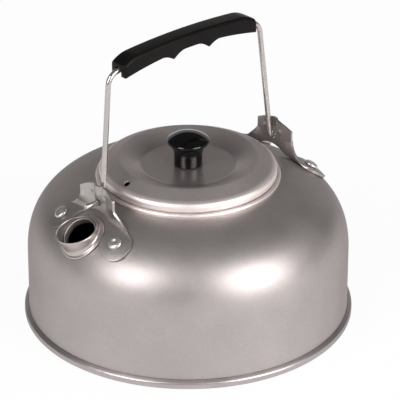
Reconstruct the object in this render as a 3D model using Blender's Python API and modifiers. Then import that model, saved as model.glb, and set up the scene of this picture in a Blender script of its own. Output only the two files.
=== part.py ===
"""Aluminium camping tea kettle, about one litre.

A spun body sits in a hemmed base pan. A short spout is soldered over a collar in the shoulder,
a stepped lid with a plastic knob lifts off the neck, and a wire bail with a plastic grip swings
in two riveted brackets. The spout points along -X, the bail turns about X, +Z is up and the
base rests on z = 0. All sizes are in metres.
"""

import math

import bmesh
import bpy
from mathutils import Matrix, Vector

# Clearances
GAP = 0.0003
SCREW_CLEARANCE = 0.0003
RIVET_CLEARANCE = 0.0003
PLUG_CLEARANCE = 0.0005
PIVOT_CLEARANCE = 0.0005

# Mesh fineness
RING_STEPS = 40
KNOB_STEPS = 28
SPOUT_STEPS = 32
HOLE_STEPS = 20
RIVET_STEPS = 14
CORNER_STEPS = 3
BEAD_STEPS = 8
HEM_STEPS = 2
SHOULDER_STEPS = 9
DOME_STEPS = 5
UNDERCUT_STEPS = 4
FOOT_STEPS = 5
FOOT_WALK_STEPS = 12
WAIST_STEPS = 4
EDGE_STEPS = 40
WIRE_RING_STEPS = 2
WIRE_BEND_STEPS = 5
WIRE_ARCH_STEPS = 14
GRIP_END_STEPS = 4
BISECTION_STEPS = 40
MERGE_DISTANCE = 0.00001
LENGTH_TOLERANCE = 0.000000001
CREASE_ANGLE = math.radians(40.0)

# Base pan and the body's hem inside its rim
RIM_RADIUS = 0.0775
RIM_HEIGHT = 0.0045
RIM_ROUND = 0.0012
PAN_SHEET = 0.0006
HEM_ROUND = 0.0008

# Body
WALL_INSET = 0.0022
WALL_HEIGHT = 0.0329
FOOT_FLARE = 0.0003
FOOT_FLARE_HEIGHT = 0.0030
BODY_SHEET = 0.0010
SHOULDER_LOW_HANDLE = 0.0227
SHOULDER_HIGH_HANDLE = 0.0190
SHOULDER_WIDTH = 0.0319
NECK_HEIGHT = 0.0683
NECK_SLOPE = math.radians(14.2)
NECK_GROOVE_DEPTH = 0.0011
NECK_GROOVE_HEIGHT = 0.0004
BEAD_RADIUS = 0.0011
BEAD_INSET = 0.0015
BEAD_RISE = 0.0017
BEAD_OPENING = math.radians(45.0)

# Lid
LID_SHEET = 0.0008
LID_SKIRT_INSET = 0.00055
LID_DISH_WIDTH = 0.0102
LID_FLOOR_RISE = 0.0039
LID_FLOOR_ROUND = 0.0030
LID_SLOPE_WIDTH = 0.00915
LID_CREST_RISE = 0.0080
LID_CREST_ROUND = 0.0020
LID_EDGE_RISE = 0.0035
LID_EDGE_ROUND = 0.0024
LID_LEDGE_ROUND = 0.0004
LID_PLUG_DEPTH = 0.0058
VENT_CREST_OFFSET = 0.0043
VENT_RADIUS = 0.0014

# Knob and what holds it
KNOB_HEIGHT = 0.0158
KNOB_RADIUS = 0.0099
KNOB_DOME_ROUND = 0.0155
KNOB_BRIM_ROUND = 0.0011
KNOB_BRIM_TURN = 50.0
KNOB_STEM_RADIUS = 0.0066
KNOB_UNDERCUT = 0.0070
KNOB_UNDERCUT_HANDLE = 0.0022
INSERT_RADIUS = 0.0026
INSERT_LENGTH = 0.0070
SCREW_RADIUS = 0.0015
SCREW_TIP_INSET = 0.0008
SCREW_HEAD_RADIUS = 0.0028
SCREW_HEAD_HEIGHT = 0.0018
SCREW_SLOT_WIDTH = 0.0007
SCREW_SLOT_DEPTH = 0.0008
WASHER_RADIUS = 0.0040
WASHER_SHEET = 0.0006

# Spout
SPOUT_LEAD = 0.0102
SPOUT_RADIUS = 0.0095
SPOUT_WALL = 0.0008
SPOUT_LENGTH = 0.0050
SPOUT_MOUTH_TILT = math.radians(15.0)
SPOUT_FLARE = 0.0012
SPOUT_FLANGE_RADIUS = 0.0116
SPOUT_FLANGE_SHEET = 0.0007
COLLAR_SHEET = 0.0007
COLLAR_HEIGHT = 0.0018

# Brackets
BRACKET_SHEET = 0.0012
BRACKET_NECK_GAP = 0.0099
BRACKET_HALF_WIDTH = 0.0118
BRACKET_TOP_RISE = 0.0088
BRACKET_CORNER_DROP = 0.0029
BRACKET_CORNER_ROUND = 0.0009
BRACKET_ARCH_DROP = 0.0042
BRACKET_ARCH_FULLNESS = 0.62
BRACKET_BEND_ROUND = 0.0015
WAIST_RISE = 0.0010
WAIST_HANDLE = 0.0015
FLARE_HANDLE = 0.0030
FLARE_ANGLE = 75.0
FOOT_RADIUS = 0.0078
FOOT_TIP_ANGLE = 12.0
WING_FOLD = 0.0013
WING_START = 0.0056
GROOVE_HALF_WIDTH = 0.0024
GROOVE_DEPTH = 0.0012
DIMPLE_OFFSET = 0.0048
DIMPLE_RISE = 0.0038
DIMPLE_RADIUS = 0.0013
DIMPLE_DEPTH = 0.0005
PIVOT_RISE = 0.0080
RIVET_LEAD = 0.0085
RIVET_TUCK = 0.0003
RIVET_RADIUS = 0.0020
RIVET_HEAD_RADIUS = 0.0033
RIVET_HEAD_HEIGHT = 0.0014
RIVET_HEAD_EDGE = 0.0003
RIVET_HEAD_SLOPE = 0.0008
RIVET_HEAD_CROWN = 0.0004
RIVET_DISH_RADIUS = 0.0014
RIVET_DISH_DEPTH = 0.0003
RIVET_TAIL_RADIUS = 0.0032
RIVET_TAIL_HEIGHT = 0.0010
RIVET_TAIL_CLEARANCE = 0.0005

# Bail
WIRE_RADIUS = 0.00125
WIRE_TAIL = 0.0072
WIRE_ELBOW_INSET = 0.0013
WIRE_ELBOW_ROUND = 0.0022
WIRE_TAPER = 0.0061
WIRE_CORNER_ROUND = 0.0065
WIRE_TOP_RISE = 0.0653
WIRE_CROWN = 0.0044
BAIL_LEAN = math.radians(2.0)
GRIP_END_GAP = 0.0057
GRIP_ROOF_RISE = 0.0034
GRIP_TOP_CROWN = 0.0021
GRIP_END_DROP = 0.0023
GRIP_END_LENGTH = 0.0080
GRIP_HALF_WIDTH = 0.0050
GRIP_EDGE_ROUND = 0.0018
GRIP_TOE_ROUND = 0.0006
GRIP_SIDE_DROP = 0.0030
GRIP_BOTTOM_CROWN = 0.0044
GRIP_CHANNEL_CLEARANCE = 0.0006
RIDGE_OFFSET = 0.0105
RIDGE_HALF_WIDTH = 0.0066
RIDGE_DEPTH = 0.0029
RIDGE_SHARPNESS = 1.7
RIDGE_SHARES = (-1.0, -0.6, -0.25, 0.0, 0.25, 0.6, 1.0)

# Places worked out from the sizes above
WALL_RADIUS = RIM_RADIUS - WALL_INSET
NECK_RADIUS = WALL_RADIUS - SHOULDER_WIDTH
NECK_WALL_RADIUS = NECK_RADIUS - NECK_GROOVE_DEPTH
BEAD_CENTRE_RADIUS = NECK_RADIUS - BEAD_INSET
BEAD_HEIGHT = NECK_HEIGHT + BEAD_RISE
LID_SKIRT_RADIUS = BEAD_CENTRE_RADIUS - LID_SKIRT_INSET
LID_PLUG_RADIUS = BEAD_CENTRE_RADIUS - BEAD_RADIUS - PLUG_CLEARANCE
LID_CREST_RADIUS = LID_SKIRT_RADIUS - LID_SLOPE_WIDTH
LID_FLOOR_RADIUS = LID_CREST_RADIUS - LID_DISH_WIDTH
VENT_DISTANCE = LID_CREST_RADIUS + VENT_CREST_OFFSET
BRACKET_REACH = NECK_RADIUS + BRACKET_NECK_GAP
BRACKET_INSIDE = BRACKET_REACH - BRACKET_SHEET
SPOUT_REACH = BRACKET_REACH + SPOUT_LEAD
RIVET_DISTANCE = BRACKET_REACH + RIVET_LEAD
RIVET_SIDE = SPOUT_FLANGE_RADIUS + FOOT_RADIUS - RIVET_TUCK
RIVET_ANGLE = math.asin(RIVET_SIDE / RIVET_DISTANCE)
WIRE_ELBOW = BRACKET_INSIDE - WIRE_ELBOW_INSET
WIRE_HALF_WIDTH = WIRE_ELBOW - WIRE_TAPER
GRIP_HALF_LENGTH = WIRE_HALF_WIDTH - GRIP_END_GAP
GRIP_TOP_RISE = WIRE_TOP_RISE + GRIP_ROOF_RISE
LID_SEAT = BEAD_HEIGHT + math.sqrt((BEAD_RADIUS + GAP) ** 2 - LID_SKIRT_INSET ** 2)
SCREW_HOLE_RADIUS = SCREW_RADIUS + SCREW_CLEARANCE
KNOB_BASE = LID_FLOOR_RISE + GAP


def bezier(points, share):
    """Point and direction of a cubic curve, at a share of its parameter, in the profile's plane."""
    start, first, second, end = (Vector(point) for point in points)
    rest = 1.0 - share
    place = (start * rest ** 3 + first * 3.0 * rest ** 2 * share
             + second * 3.0 * rest * share ** 2 + end * share ** 3)
    direction = ((first - start) * rest ** 2 + (second - first) * 2.0 * rest * share
                 + (end - second) * share ** 2)
    return place, direction.normalized()


def arc(centre_x, centre_z, radius, start, end, steps):
    """Points along a circular arc, from start to end in degrees."""
    angles = [math.radians(start + (end - start) * step / steps) for step in range(steps + 1)]
    return [(centre_x + radius * math.cos(angle), centre_z + radius * math.sin(angle))
            for angle in angles]


def rounded(corners, steps=CORNER_STEPS):
    """Outline through (x, z, radius) corners, each rounded with its own radius."""
    outline = [corners[0][:2]]
    for before, corner, after in zip(corners, corners[1:], corners[2:]):
        middle = Vector(corner[:2])
        back = (Vector(before[:2]) - middle).normalized()
        ahead = (Vector(after[:2]) - middle).normalized()
        half = back.angle(ahead) / 2.0
        radius = corner[2]
        if radius == 0.0:
            outline.append(tuple(middle))
            continue
        centre = middle + (back + ahead).normalized() * radius / math.sin(half)
        start = middle + back * radius / math.tan(half) - centre
        end = middle + ahead * radius / math.tan(half) - centre
        turn = start.angle(end)
        for step in range(steps + 1):
            share = step / steps
            spoke = (start * math.sin((1.0 - share) * turn) + end * math.sin(share * turn)) / math.sin(turn)
            outline.append(tuple(centre + spoke))
    outline.append(corners[-1][:2])
    return outline


def beneath(line, depth):
    """The same line moved to its right-hand side by a sheet's thickness."""
    moved = []
    for index, point in enumerate(line):
        before = Vector(line[max(index - 1, 0)])
        after = Vector(line[min(index + 1, len(line) - 1)])
        here = Vector(point)
        into = (here - before).normalized() if index > 0 else (after - here).normalized()
        onward = (after - here).normalized() if index < len(line) - 1 else into
        side = Vector((into.y, -into.x)) + Vector((onward.y, -onward.x))
        side.normalize()
        stretch = side.dot(Vector((into.y, -into.x)))
        moved.append(tuple(here + side * depth / stretch))
    return moved


# The body's shoulder, which the spout, the brackets and the rivets all sit on

def shoulder_curve():
    """Control points of the shoulder's outer face, from the wall up to the neck."""
    high_handle = (NECK_RADIUS + SHOULDER_HIGH_HANDLE * math.cos(NECK_SLOPE),
                   NECK_HEIGHT - SHOULDER_HIGH_HANDLE * math.sin(NECK_SLOPE))
    return ((WALL_RADIUS, WALL_HEIGHT), (WALL_RADIUS, WALL_HEIGHT + SHOULDER_LOW_HANDLE),
            high_handle, (NECK_RADIUS, NECK_HEIGHT))


def shoulder_face(share, lift=0.0):
    """Point on the shoulder, or on a face that lies lift above it, and its outward normal."""
    place, direction = bezier(shoulder_curve(), share)
    normal = Vector((direction.y, -direction.x))
    return place + normal * lift, normal


def shoulder_at(radius, lift=0.0):
    """Height of the shoulder's outer face, or of a face lift above it, and its tilt there."""
    low = 0.0
    high = 1.0
    for _ in range(BISECTION_STEPS):
        middle = (low + high) / 2.0
        if shoulder_face(middle, lift)[0].x > radius:
            low = middle
        else:
            high = middle
    place, normal = shoulder_face(low, lift)
    return place.y, math.atan2(normal.x, normal.y)


def seat(radius, azimuth):
    """Frame on the shoulder: local Z leaves it square, local X runs down the slope."""
    height, tilt = shoulder_at(radius)
    place = Matrix.Translation((radius * math.cos(azimuth), radius * math.sin(azimuth), height))
    return place @ Matrix.Rotation(azimuth, 4, "Z") @ Matrix.Rotation(tilt, 4, "Y")


def saddle(frame, x, y, reach):
    """Height of the shoulder above a seat's own plane, at a local point within reach."""
    low = -reach
    high = reach
    for _ in range(BISECTION_STEPS):
        middle = (low + high) / 2.0
        point = frame @ Vector((x, y, middle))
        if point.z > shoulder_at(math.hypot(point.x, point.y))[0]:
            high = middle
        else:
            low = middle
    return low


PIVOT_HEIGHT = shoulder_at(BRACKET_REACH)[0] + PIVOT_RISE


# Scene helpers

def clear_scene():
    """Remove what the file starts with."""
    for thing in list(bpy.data.objects):
        bpy.data.objects.remove(thing, do_unlink=True)


def collection(name):
    """A new collection in the scene."""
    group = bpy.data.collections.new(name)
    bpy.context.scene.collection.children.link(group)
    return group


def finish(name, colour, metallic, roughness):
    """A plain Principled material."""
    material = bpy.data.materials.new(name)
    material.use_nodes = True
    shader = material.node_tree.nodes["Principled BSDF"]
    shader.inputs["Base Color"].default_value = (*colour, 1.0)
    shader.inputs["Metallic"].default_value = metallic
    shader.inputs["Roughness"].default_value = roughness
    return material


def place(data, name, group, material=None):
    """An object for some data, in a collection."""
    thing = bpy.data.objects.new(name, data)
    group.objects.link(thing)
    if material is not None:
        data.materials.append(material)
    return thing


def turned(name, profile, group, material=None, steps=RING_STEPS, closed=False):
    """A solid turned about Z from a profile of (radius, height) points."""
    mesh = bpy.data.meshes.new(name)
    edges = [(index, index + 1) for index in range(len(profile) - 1)]
    if closed:
        edges.append((len(profile) - 1, 0))
    mesh.from_pydata([(radius, 0.0, height) for radius, height in profile], edges, [])
    thing = place(mesh, name, group, material)
    screw = thing.modifiers.new("turn", "SCREW")
    screw.steps = steps
    screw.render_steps = steps
    screw.use_merge_vertices = True
    screw.merge_threshold = MERGE_DISTANCE
    screw.use_smooth_shade = True
    return thing


def baked(thing):
    """The mesh of an object as it is seen, in place of its modifiers."""
    bpy.context.view_layer.update()
    seen = thing.evaluated_get(bpy.context.evaluated_depsgraph_get())
    mesh = bpy.data.meshes.new_from_object(seen)
    mesh.name = thing.name
    thing.modifiers.clear()
    thing.data = mesh
    return mesh


def smooth(mesh):
    """Shade a mesh smooth, with its real corners left sharp."""
    mesh.shade_smooth()
    mesh.set_sharp_from_angle(angle=CREASE_ANGLE)


def boolean(thing, other, operation):
    """Add a Boolean, with the other object hidden as a tool."""
    modifier = thing.modifiers.new(other.name, "BOOLEAN")
    modifier.operation = operation
    modifier.solver = "EXACT"
    modifier.object = other
    other.hide_render = True
    other.display_type = "WIRE"


def cylinder_cutter(name, radius, length, frame, group):
    """A cylinder centred on a frame and running along its local Z."""
    mesh = bpy.data.meshes.new(name)
    shape = bmesh.new()
    bmesh.ops.create_cone(shape, cap_ends=True, segments=HOLE_STEPS, radius1=radius, radius2=radius,
                          depth=length)
    shape.to_mesh(mesh)
    shape.free()
    cutter = place(mesh, name, group)
    cutter.matrix_world = frame
    return cutter


def box_cutter(name, size, centre, group):
    """A box of a size about a centre."""
    mesh = bpy.data.meshes.new(name)
    shape = bmesh.new()
    bmesh.ops.create_cube(shape, size=1.0, matrix=Matrix.Diagonal((*size, 1.0)))
    shape.to_mesh(mesh)
    shape.free()
    cutter = place(mesh, name, group)
    cutter.location = centre
    return cutter


# Body, base pan and spout

def hem_outer_radius():
    """Outside of the hem, which the pan's rim wraps."""
    return RIM_RADIUS - PAN_SHEET - GAP


def hem_top():
    """Top of the hem, under the pan's lip."""
    return RIM_HEIGHT - PAN_SHEET - GAP


def foot_radius():
    """Outside of the wall where it enters the rim."""
    return WALL_RADIUS + FOOT_FLARE


def body_profile():
    """Closed section of the body: bead, neck, shoulder, wall and hem, then back up the inside."""
    opening = math.degrees(BEAD_OPENING)
    bead = arc(BEAD_CENTRE_RADIUS, BEAD_HEIGHT, BEAD_RADIUS, 180.0 + opening, -opening, BEAD_STEPS)
    groove = [(NECK_WALL_RADIUS, NECK_HEIGHT + NECK_GROOVE_HEIGHT)]
    shares = [1.0 - step / SHOULDER_STEPS for step in range(SHOULDER_STEPS + 1)]
    shoulder = [tuple(shoulder_face(share)[0]) for share in shares]
    wall_inside = WALL_RADIUS - BODY_SHEET
    foot = rounded([(WALL_RADIUS, hem_top() + FOOT_FLARE_HEIGHT, 0.0),
                    (foot_radius(), hem_top() + PAN_SHEET, 0.0),
                    (foot_radius(), hem_top(), 0.0),
                    (hem_outer_radius(), hem_top(), HEM_ROUND),
                    (hem_outer_radius(), PAN_SHEET + GAP, HEM_ROUND),
                    (wall_inside, PAN_SHEET + GAP, 0.0)], steps=HEM_STEPS)
    inner_shares = [step / SHOULDER_STEPS for step in range(SHOULDER_STEPS + 1)]
    inside = [tuple(shoulder_face(share, -BODY_SHEET)[0]) for share in inner_shares]
    throat = [(NECK_WALL_RADIUS - BODY_SHEET, NECK_HEIGHT - BODY_SHEET / 2.0)]
    return bead + groove + shoulder + foot + inside + throat


def spout_frame():
    """Where the spout stands on the shoulder."""
    return seat(SPOUT_REACH, math.pi)


def fitted_tube(name, section, length, mouth_slope, seat_height, group, material=None):
    """A turned tube whose foot follows the shoulder and whose mouth is an oblique plane."""
    frame = spout_frame()
    tube = turned(name, section, group, material, steps=SPOUT_STEPS, closed=True)
    mesh = baked(tube)
    for vertex in mesh.vertices:
        x, y, height = vertex.co
        share = max(0.0, (height - seat_height) / (length - seat_height))
        base = saddle(frame, x, y, SPOUT_REACH / 2.0)
        vertex.co.z = height + base * (1.0 - share) + x * mouth_slope * share
    smooth(mesh)
    tube.matrix_world = frame
    return tube


def make_body(parts, tools, aluminium):
    """The spun body, with the collar for the spout and the rivet holes."""
    body = turned("body_shell", body_profile(), parts, aluminium, closed=True)
    bore = SPOUT_RADIUS - SPOUT_WALL - GAP - COLLAR_SHEET
    collar_outside = bore + COLLAR_SHEET
    buried = BODY_SHEET / 2.0
    collar = fitted_tube("collar", [(bore - buried, COLLAR_HEIGHT), (collar_outside, COLLAR_HEIGHT),
                                    (collar_outside, -buried), (bore - buried, -buried)],
                         COLLAR_HEIGHT, 0.0, 0.0, tools)
    boolean(body, collar, "UNION")
    throat = cylinder_cutter("spout_bore", bore, 4.0 * SPOUT_RADIUS, spout_frame(), tools)
    boolean(body, throat, "DIFFERENCE")
    for name, azimuth in rivet_places():
        hole = cylinder_cutter(name + "_body_hole", RIVET_RADIUS + RIVET_CLEARANCE,
                               8.0 * BODY_SHEET, seat(RIVET_DISTANCE, azimuth), tools)
        boolean(body, hole, "DIFFERENCE")
    return body


def make_base_pan(parts, aluminium):
    """The bottom: a flat disc whose rim wraps the body's hem."""
    inside = RIM_RADIUS - PAN_SHEET
    lip = foot_radius() + GAP
    under = RIM_HEIGHT - PAN_SHEET
    edge = PAN_SHEET / 2.0
    profile = rounded([(0.0, PAN_SHEET, 0.0),
                       (inside, PAN_SHEET, HEM_ROUND - GAP),
                       (inside, under, HEM_ROUND - GAP),
                       (lip, under, 0.0),
                       (lip, under + edge, 0.0),
                       (lip + edge, RIM_HEIGHT, 0.0),
                       (RIM_RADIUS, RIM_HEIGHT, RIM_ROUND),
                       (RIM_RADIUS, 0.0, RIM_ROUND),
                       (0.0, 0.0, 0.0)])
    return turned("base_pan", profile, parts, aluminium)


def make_spout(parts, aluminium):
    """The pouring spout: a tube with an oblique mouth and a flange soldered on the shoulder."""
    inside = SPOUT_RADIUS - SPOUT_WALL
    flange_top = GAP + SPOUT_FLANGE_SHEET
    flare = arc(SPOUT_RADIUS + SPOUT_FLARE, flange_top + SPOUT_FLARE, SPOUT_FLARE, 180.0, 270.0, 2)
    edge = SPOUT_WALL / 2.0
    section = [(inside, SPOUT_LENGTH - edge), (inside + edge, SPOUT_LENGTH),
               (SPOUT_RADIUS, SPOUT_LENGTH - edge), *flare,
               (SPOUT_FLANGE_RADIUS - SPOUT_FLANGE_SHEET / 2.0, flange_top),
               (SPOUT_FLANGE_RADIUS, GAP + SPOUT_FLANGE_SHEET / 2.0),
               (SPOUT_FLANGE_RADIUS, GAP), (inside, GAP), (inside, flange_top)]
    slope = math.tan(shoulder_at(SPOUT_REACH)[1] - SPOUT_MOUTH_TILT)
    return fitted_tube("spout", section, SPOUT_LENGTH, slope, flange_top, parts, aluminium)


# Brackets and rivets

def rivet_places():
    """Name and azimuth of each rivet, two to a bracket."""
    return (("front_rivet_left", math.pi - RIVET_ANGLE), ("front_rivet_right", math.pi + RIVET_ANGLE),
            ("rear_rivet_left", RIVET_ANGLE), ("rear_rivet_right", -RIVET_ANGLE))


def bracket_bend(y):
    """Height and slope of the line where the bracket's plate meets its foot, at a distance y."""
    radius = math.hypot(BRACKET_INSIDE, y)
    height, tilt = shoulder_at(radius, GAP)
    return height, math.atan(math.tan(tilt) * BRACKET_INSIDE / radius)


def foot_walk(y, length):
    """Distance from the bail's middle plane that a length of foot reaches down the shoulder."""
    x = BRACKET_INSIDE
    for _ in range(FOOT_WALK_STEPS):
        radius = math.hypot(x, y)
        slope = math.atan(math.tan(shoulder_at(radius, GAP)[1]) * x / radius)
        x += length / FOOT_WALK_STEPS * math.cos(slope)
    return x


def bracket_point(y, along):
    """Inner face of the bent sheet: along is up the plate when positive, out on the foot when not."""
    height, slope = bracket_bend(y)
    turn = math.pi / 2.0 - slope
    radius = BRACKET_BEND_ROUND + BRACKET_SHEET
    reach = radius * math.tan(turn / 2.0)
    if along >= reach:
        return Vector((BRACKET_INSIDE, y, height + along))
    if along <= -reach:
        x = foot_walk(y, -along)
        return Vector((x, y, shoulder_at(math.hypot(x, y), GAP)[0]))
    angle = turn * (reach - along) / (2.0 * reach)
    return Vector((BRACKET_INSIDE + radius * (1.0 - math.cos(angle)), y,
                   height + reach - radius * math.sin(angle)))


def bracket_press(y, rise):
    """How far the pressing pushes the plate outward, at a rise above the pivot."""
    groove = max(0.0, 1.0 - (y / GROOVE_HALF_WIDTH) ** 2)
    groove_fade = min(1.0, max(0.0, rise / (2.0 * GROOVE_HALF_WIDTH)))
    wing = min(1.0, max(0.0, (abs(y) - WING_START) / (BRACKET_HALF_WIDTH - WING_START)))
    wing_fade = min(1.0, max(0.0, 1.0 + rise / BRACKET_ARCH_DROP))
    dimple = math.hypot(abs(y) - DIMPLE_OFFSET, rise - DIMPLE_RISE) / DIMPLE_RADIUS
    return (GROOVE_DEPTH * groove * groove_fade + WING_FOLD * wing * wing_fade
            - DIMPLE_DEPTH * max(0.0, 1.0 - dimple ** 2))


def foot_centre():
    """The rivet's place on the flat bracket, as (y, along)."""
    rivet = seat(RIVET_DISTANCE, RIVET_ANGLE).translation
    low = 0.0
    high = 2.0 * (rivet.x - BRACKET_INSIDE)
    for _ in range(BISECTION_STEPS):
        middle = (low + high) / 2.0
        if foot_walk(rivet.y, middle) < rivet.x:
            low = middle
        else:
            high = middle
    return rivet.y, -low


def bracket_upper_edge(pivot):
    """Top, side and outer foot edge of half the flat bracket, from the middle to the foot's tip."""
    crown = pivot + BRACKET_TOP_RISE
    columns = [GROOVE_HALF_WIDTH * step / 3.0 for step in range(4)]
    columns += [DIMPLE_OFFSET + DIMPLE_RADIUS * step / 2.0 for step in range(-2, 3)]
    side_start = BRACKET_HALF_WIDTH - BRACKET_CORNER_ROUND
    columns += [(columns[-1] + side_start) / 2.0, side_start]
    fall = BRACKET_CORNER_DROP / side_start ** 2
    top = [(y, crown - fall * y ** 2) for y in columns]
    shoulder = crown - BRACKET_CORNER_DROP
    corner = rounded([(side_start, shoulder, 0.0),
                      (BRACKET_HALF_WIDTH, shoulder - BRACKET_CORNER_ROUND / 4.0, BRACKET_CORNER_ROUND / 2.0),
                      (BRACKET_HALF_WIDTH, pivot + DIMPLE_RISE, 0.0)], steps=2)[1:]
    foot_y, foot_along = foot_centre()
    circle = arc(foot_y, foot_along, FOOT_RADIUS, FLARE_ANGLE, FOOT_TIP_ANGLE, FOOT_STEPS)
    start = Vector((BRACKET_HALF_WIDTH, pivot + WAIST_RISE))
    end = Vector(circle[0])
    ahead = Vector((math.sin(math.radians(FLARE_ANGLE)), -math.cos(math.radians(FLARE_ANGLE))))
    flare = (start, start - Vector((0.0, WAIST_HANDLE)), end - ahead * FLARE_HANDLE, end)
    side = [tuple(bezier(flare, step / WAIST_STEPS)[0]) for step in range(WAIST_STEPS)]
    return top + corner + side + circle


def bracket_lower_edge(pivot):
    """Arch over the spout and inner foot edge of half the flat bracket, finely stepped."""
    foot_y, foot_along = foot_centre()
    start = (0.0, pivot - BRACKET_ARCH_DROP)
    end = (foot_y - FOOT_RADIUS, foot_along)
    arch = (start, (end[0] * BRACKET_ARCH_FULLNESS, start[1]),
            (end[0], end[1] + (start[1] - end[1]) * BRACKET_ARCH_FULLNESS), end)
    curve = [tuple(bezier(arch, step / EDGE_STEPS)[0]) for step in range(EDGE_STEPS)]
    return curve + arc(foot_y, foot_along, FOOT_RADIUS, 180.0, 360.0 - FOOT_TIP_ANGLE, EDGE_STEPS)


def matched(upper, lower):
    """Points of the lower edge under those of the upper one: straight below, then evenly spaced."""
    straight = [y for y, _ in upper if y <= DIMPLE_OFFSET + DIMPLE_RADIUS]
    lengths = [0.0]
    for before, after in zip(lower, lower[1:]):
        lengths.append(lengths[-1] + math.dist(before, after))
    found = []
    for y in straight:
        index = next(i for i, point in enumerate(lower) if point[0] >= y)
        found.append(lengths[index])
    left = len(upper) - len(straight)
    run = (lengths[-1] - found[-1]) / left
    found += [found[-1] + run * step for step in range(1, left + 1)]
    points = []
    for length in found:
        index = next((i for i, total in enumerate(lengths) if total >= length - LENGTH_TOLERANCE),
                     len(lengths) - 1)
        before = max(index - 1, 0)
        span = lengths[index] - lengths[before]
        share = (length - lengths[before]) / span if span > 0.0 else 0.0
        points.append(tuple(Vector(lower[before]).lerp(Vector(lower[index]), share)))
    return points


def make_bracket_mesh(tools, steel):
    """One stamped bracket, its plate facing +X, with its pivot and rivet holes."""
    pivot = PIVOT_HEIGHT - bracket_bend(0.0)[0]
    upper = bracket_upper_edge(pivot)
    lower = matched(upper, bracket_lower_edge(pivot))
    plate = upper[0][1] - lower[0][1]
    dimple = (BRACKET_TOP_RISE - DIMPLE_RISE) / plate
    step = DIMPLE_RADIUS / plate / 2.0
    rows = [0.0, dimple / 2.0 - step] + [dimple + step * index for index in range(-2, 3)]
    rows += [rows[-1] + (1.0 - rows[-1]) * index / 4.0 for index in range(1, 5)]
    shape = bmesh.new()
    bmesh.ops.create_grid(shape, x_segments=len(upper) - 1, y_segments=len(rows) - 1, size=1.0)
    order = sorted(shape.verts, key=lambda vertex: (round(vertex.co.x, 6), -round(vertex.co.y, 6)))
    for column, (high, low) in enumerate(zip(upper, lower)):
        for row, share in enumerate(rows):
            y, along = Vector(high).lerp(Vector(low), share)
            point = bracket_point(y, along)
            point.x += bracket_press(y, bracket_bend(y)[0] + along - PIVOT_HEIGHT)
            order[column * len(rows) + row].co = point
    mesh = bpy.data.meshes.new("bracket")
    shape.to_mesh(mesh)
    shape.free()
    bracket = place(mesh, "bracket", tools, steel)
    mirror = bracket.modifiers.new("other_half", "MIRROR")
    mirror.use_axis = (False, True, False)
    mirror.merge_threshold = MERGE_DISTANCE
    sheet = bracket.modifiers.new("sheet", "SOLIDIFY")
    sheet.thickness = BRACKET_SHEET
    sheet.offset = 1.0
    sheet.use_even_offset = True
    pivot_place = (Matrix.Translation((BRACKET_INSIDE, 0.0, PIVOT_HEIGHT))
                   @ Matrix.Rotation(math.pi / 2.0, 4, "Y"))
    boolean(bracket, cylinder_cutter("pivot_hole", WIRE_RADIUS + PIVOT_CLEARANCE, 8.0 * BRACKET_SHEET,
                                     pivot_place, tools), "DIFFERENCE")
    for side in (-1.0, 1.0):
        hole = cylinder_cutter("bracket_rivet_hole", RIVET_RADIUS + RIVET_CLEARANCE, 8.0 * BRACKET_SHEET,
                               seat(RIVET_DISTANCE, side * RIVET_ANGLE), tools)
        boolean(bracket, hole, "DIFFERENCE")
    mesh = baked(bracket)
    smooth(mesh)
    bpy.data.objects.remove(bracket, do_unlink=True)
    return mesh


def make_brackets(parts, tools, steel):
    """The same bracket twice, over the spout and opposite it."""
    mesh = make_bracket_mesh(tools, steel)
    for name, azimuth in (("front_bracket", math.pi), ("rear_bracket", 0.0)):
        bracket = place(mesh, name, parts)
        bracket.rotation_euler = (0.0, 0.0, azimuth)


def make_rivets(parts, alloy):
    """Four round-head rivets through the bracket feet and the shell."""
    under = 2.0 * GAP + BRACKET_SHEET
    top = under + RIVET_HEAD_HEIGHT
    inner = -BODY_SHEET - RIVET_TAIL_CLEARANCE
    chamfer = RIVET_TAIL_HEIGHT / 3.0
    profile = [(0.0, top - RIVET_DISH_DEPTH), (RIVET_DISH_RADIUS, top),
               (RIVET_HEAD_RADIUS - RIVET_HEAD_SLOPE, top - RIVET_HEAD_CROWN),
               (RIVET_HEAD_RADIUS, under + RIVET_HEAD_EDGE), (RIVET_HEAD_RADIUS, under),
               (RIVET_RADIUS, under), (RIVET_RADIUS, inner), (RIVET_TAIL_RADIUS, inner),
               (RIVET_TAIL_RADIUS, inner - RIVET_TAIL_HEIGHT + chamfer),
               (RIVET_TAIL_RADIUS - chamfer, inner - RIVET_TAIL_HEIGHT),
               (0.0, inner - RIVET_TAIL_HEIGHT)]
    for name, azimuth in rivet_places():
        rivet = turned(name, profile, parts, alloy, steps=RIVET_STEPS)
        rivet.matrix_world = seat(RIVET_DISTANCE, azimuth)


# Lid, with heights above its seat on the bead

def pivot_empty(name, height, parts, lean=0.0):
    """An empty that carries a moving body, leaning towards +Y."""
    empty = bpy.data.objects.new(name, None)
    empty.location.z = height
    empty.rotation_euler.x = -lean
    parts.objects.link(empty)
    return empty


def lid_line():
    """Upper face of the lid, from the screw hole out to the skirt and down the plug."""
    return rounded([(SCREW_HOLE_RADIUS, LID_FLOOR_RISE, 0.0),
                    (LID_FLOOR_RADIUS, LID_FLOOR_RISE, LID_FLOOR_ROUND),
                    (LID_CREST_RADIUS, LID_CREST_RISE, LID_CREST_ROUND),
                    (LID_SKIRT_RADIUS, LID_EDGE_RISE, LID_EDGE_ROUND),
                    (LID_SKIRT_RADIUS, 2.0 * LID_LEDGE_ROUND, 0.0)])


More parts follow.
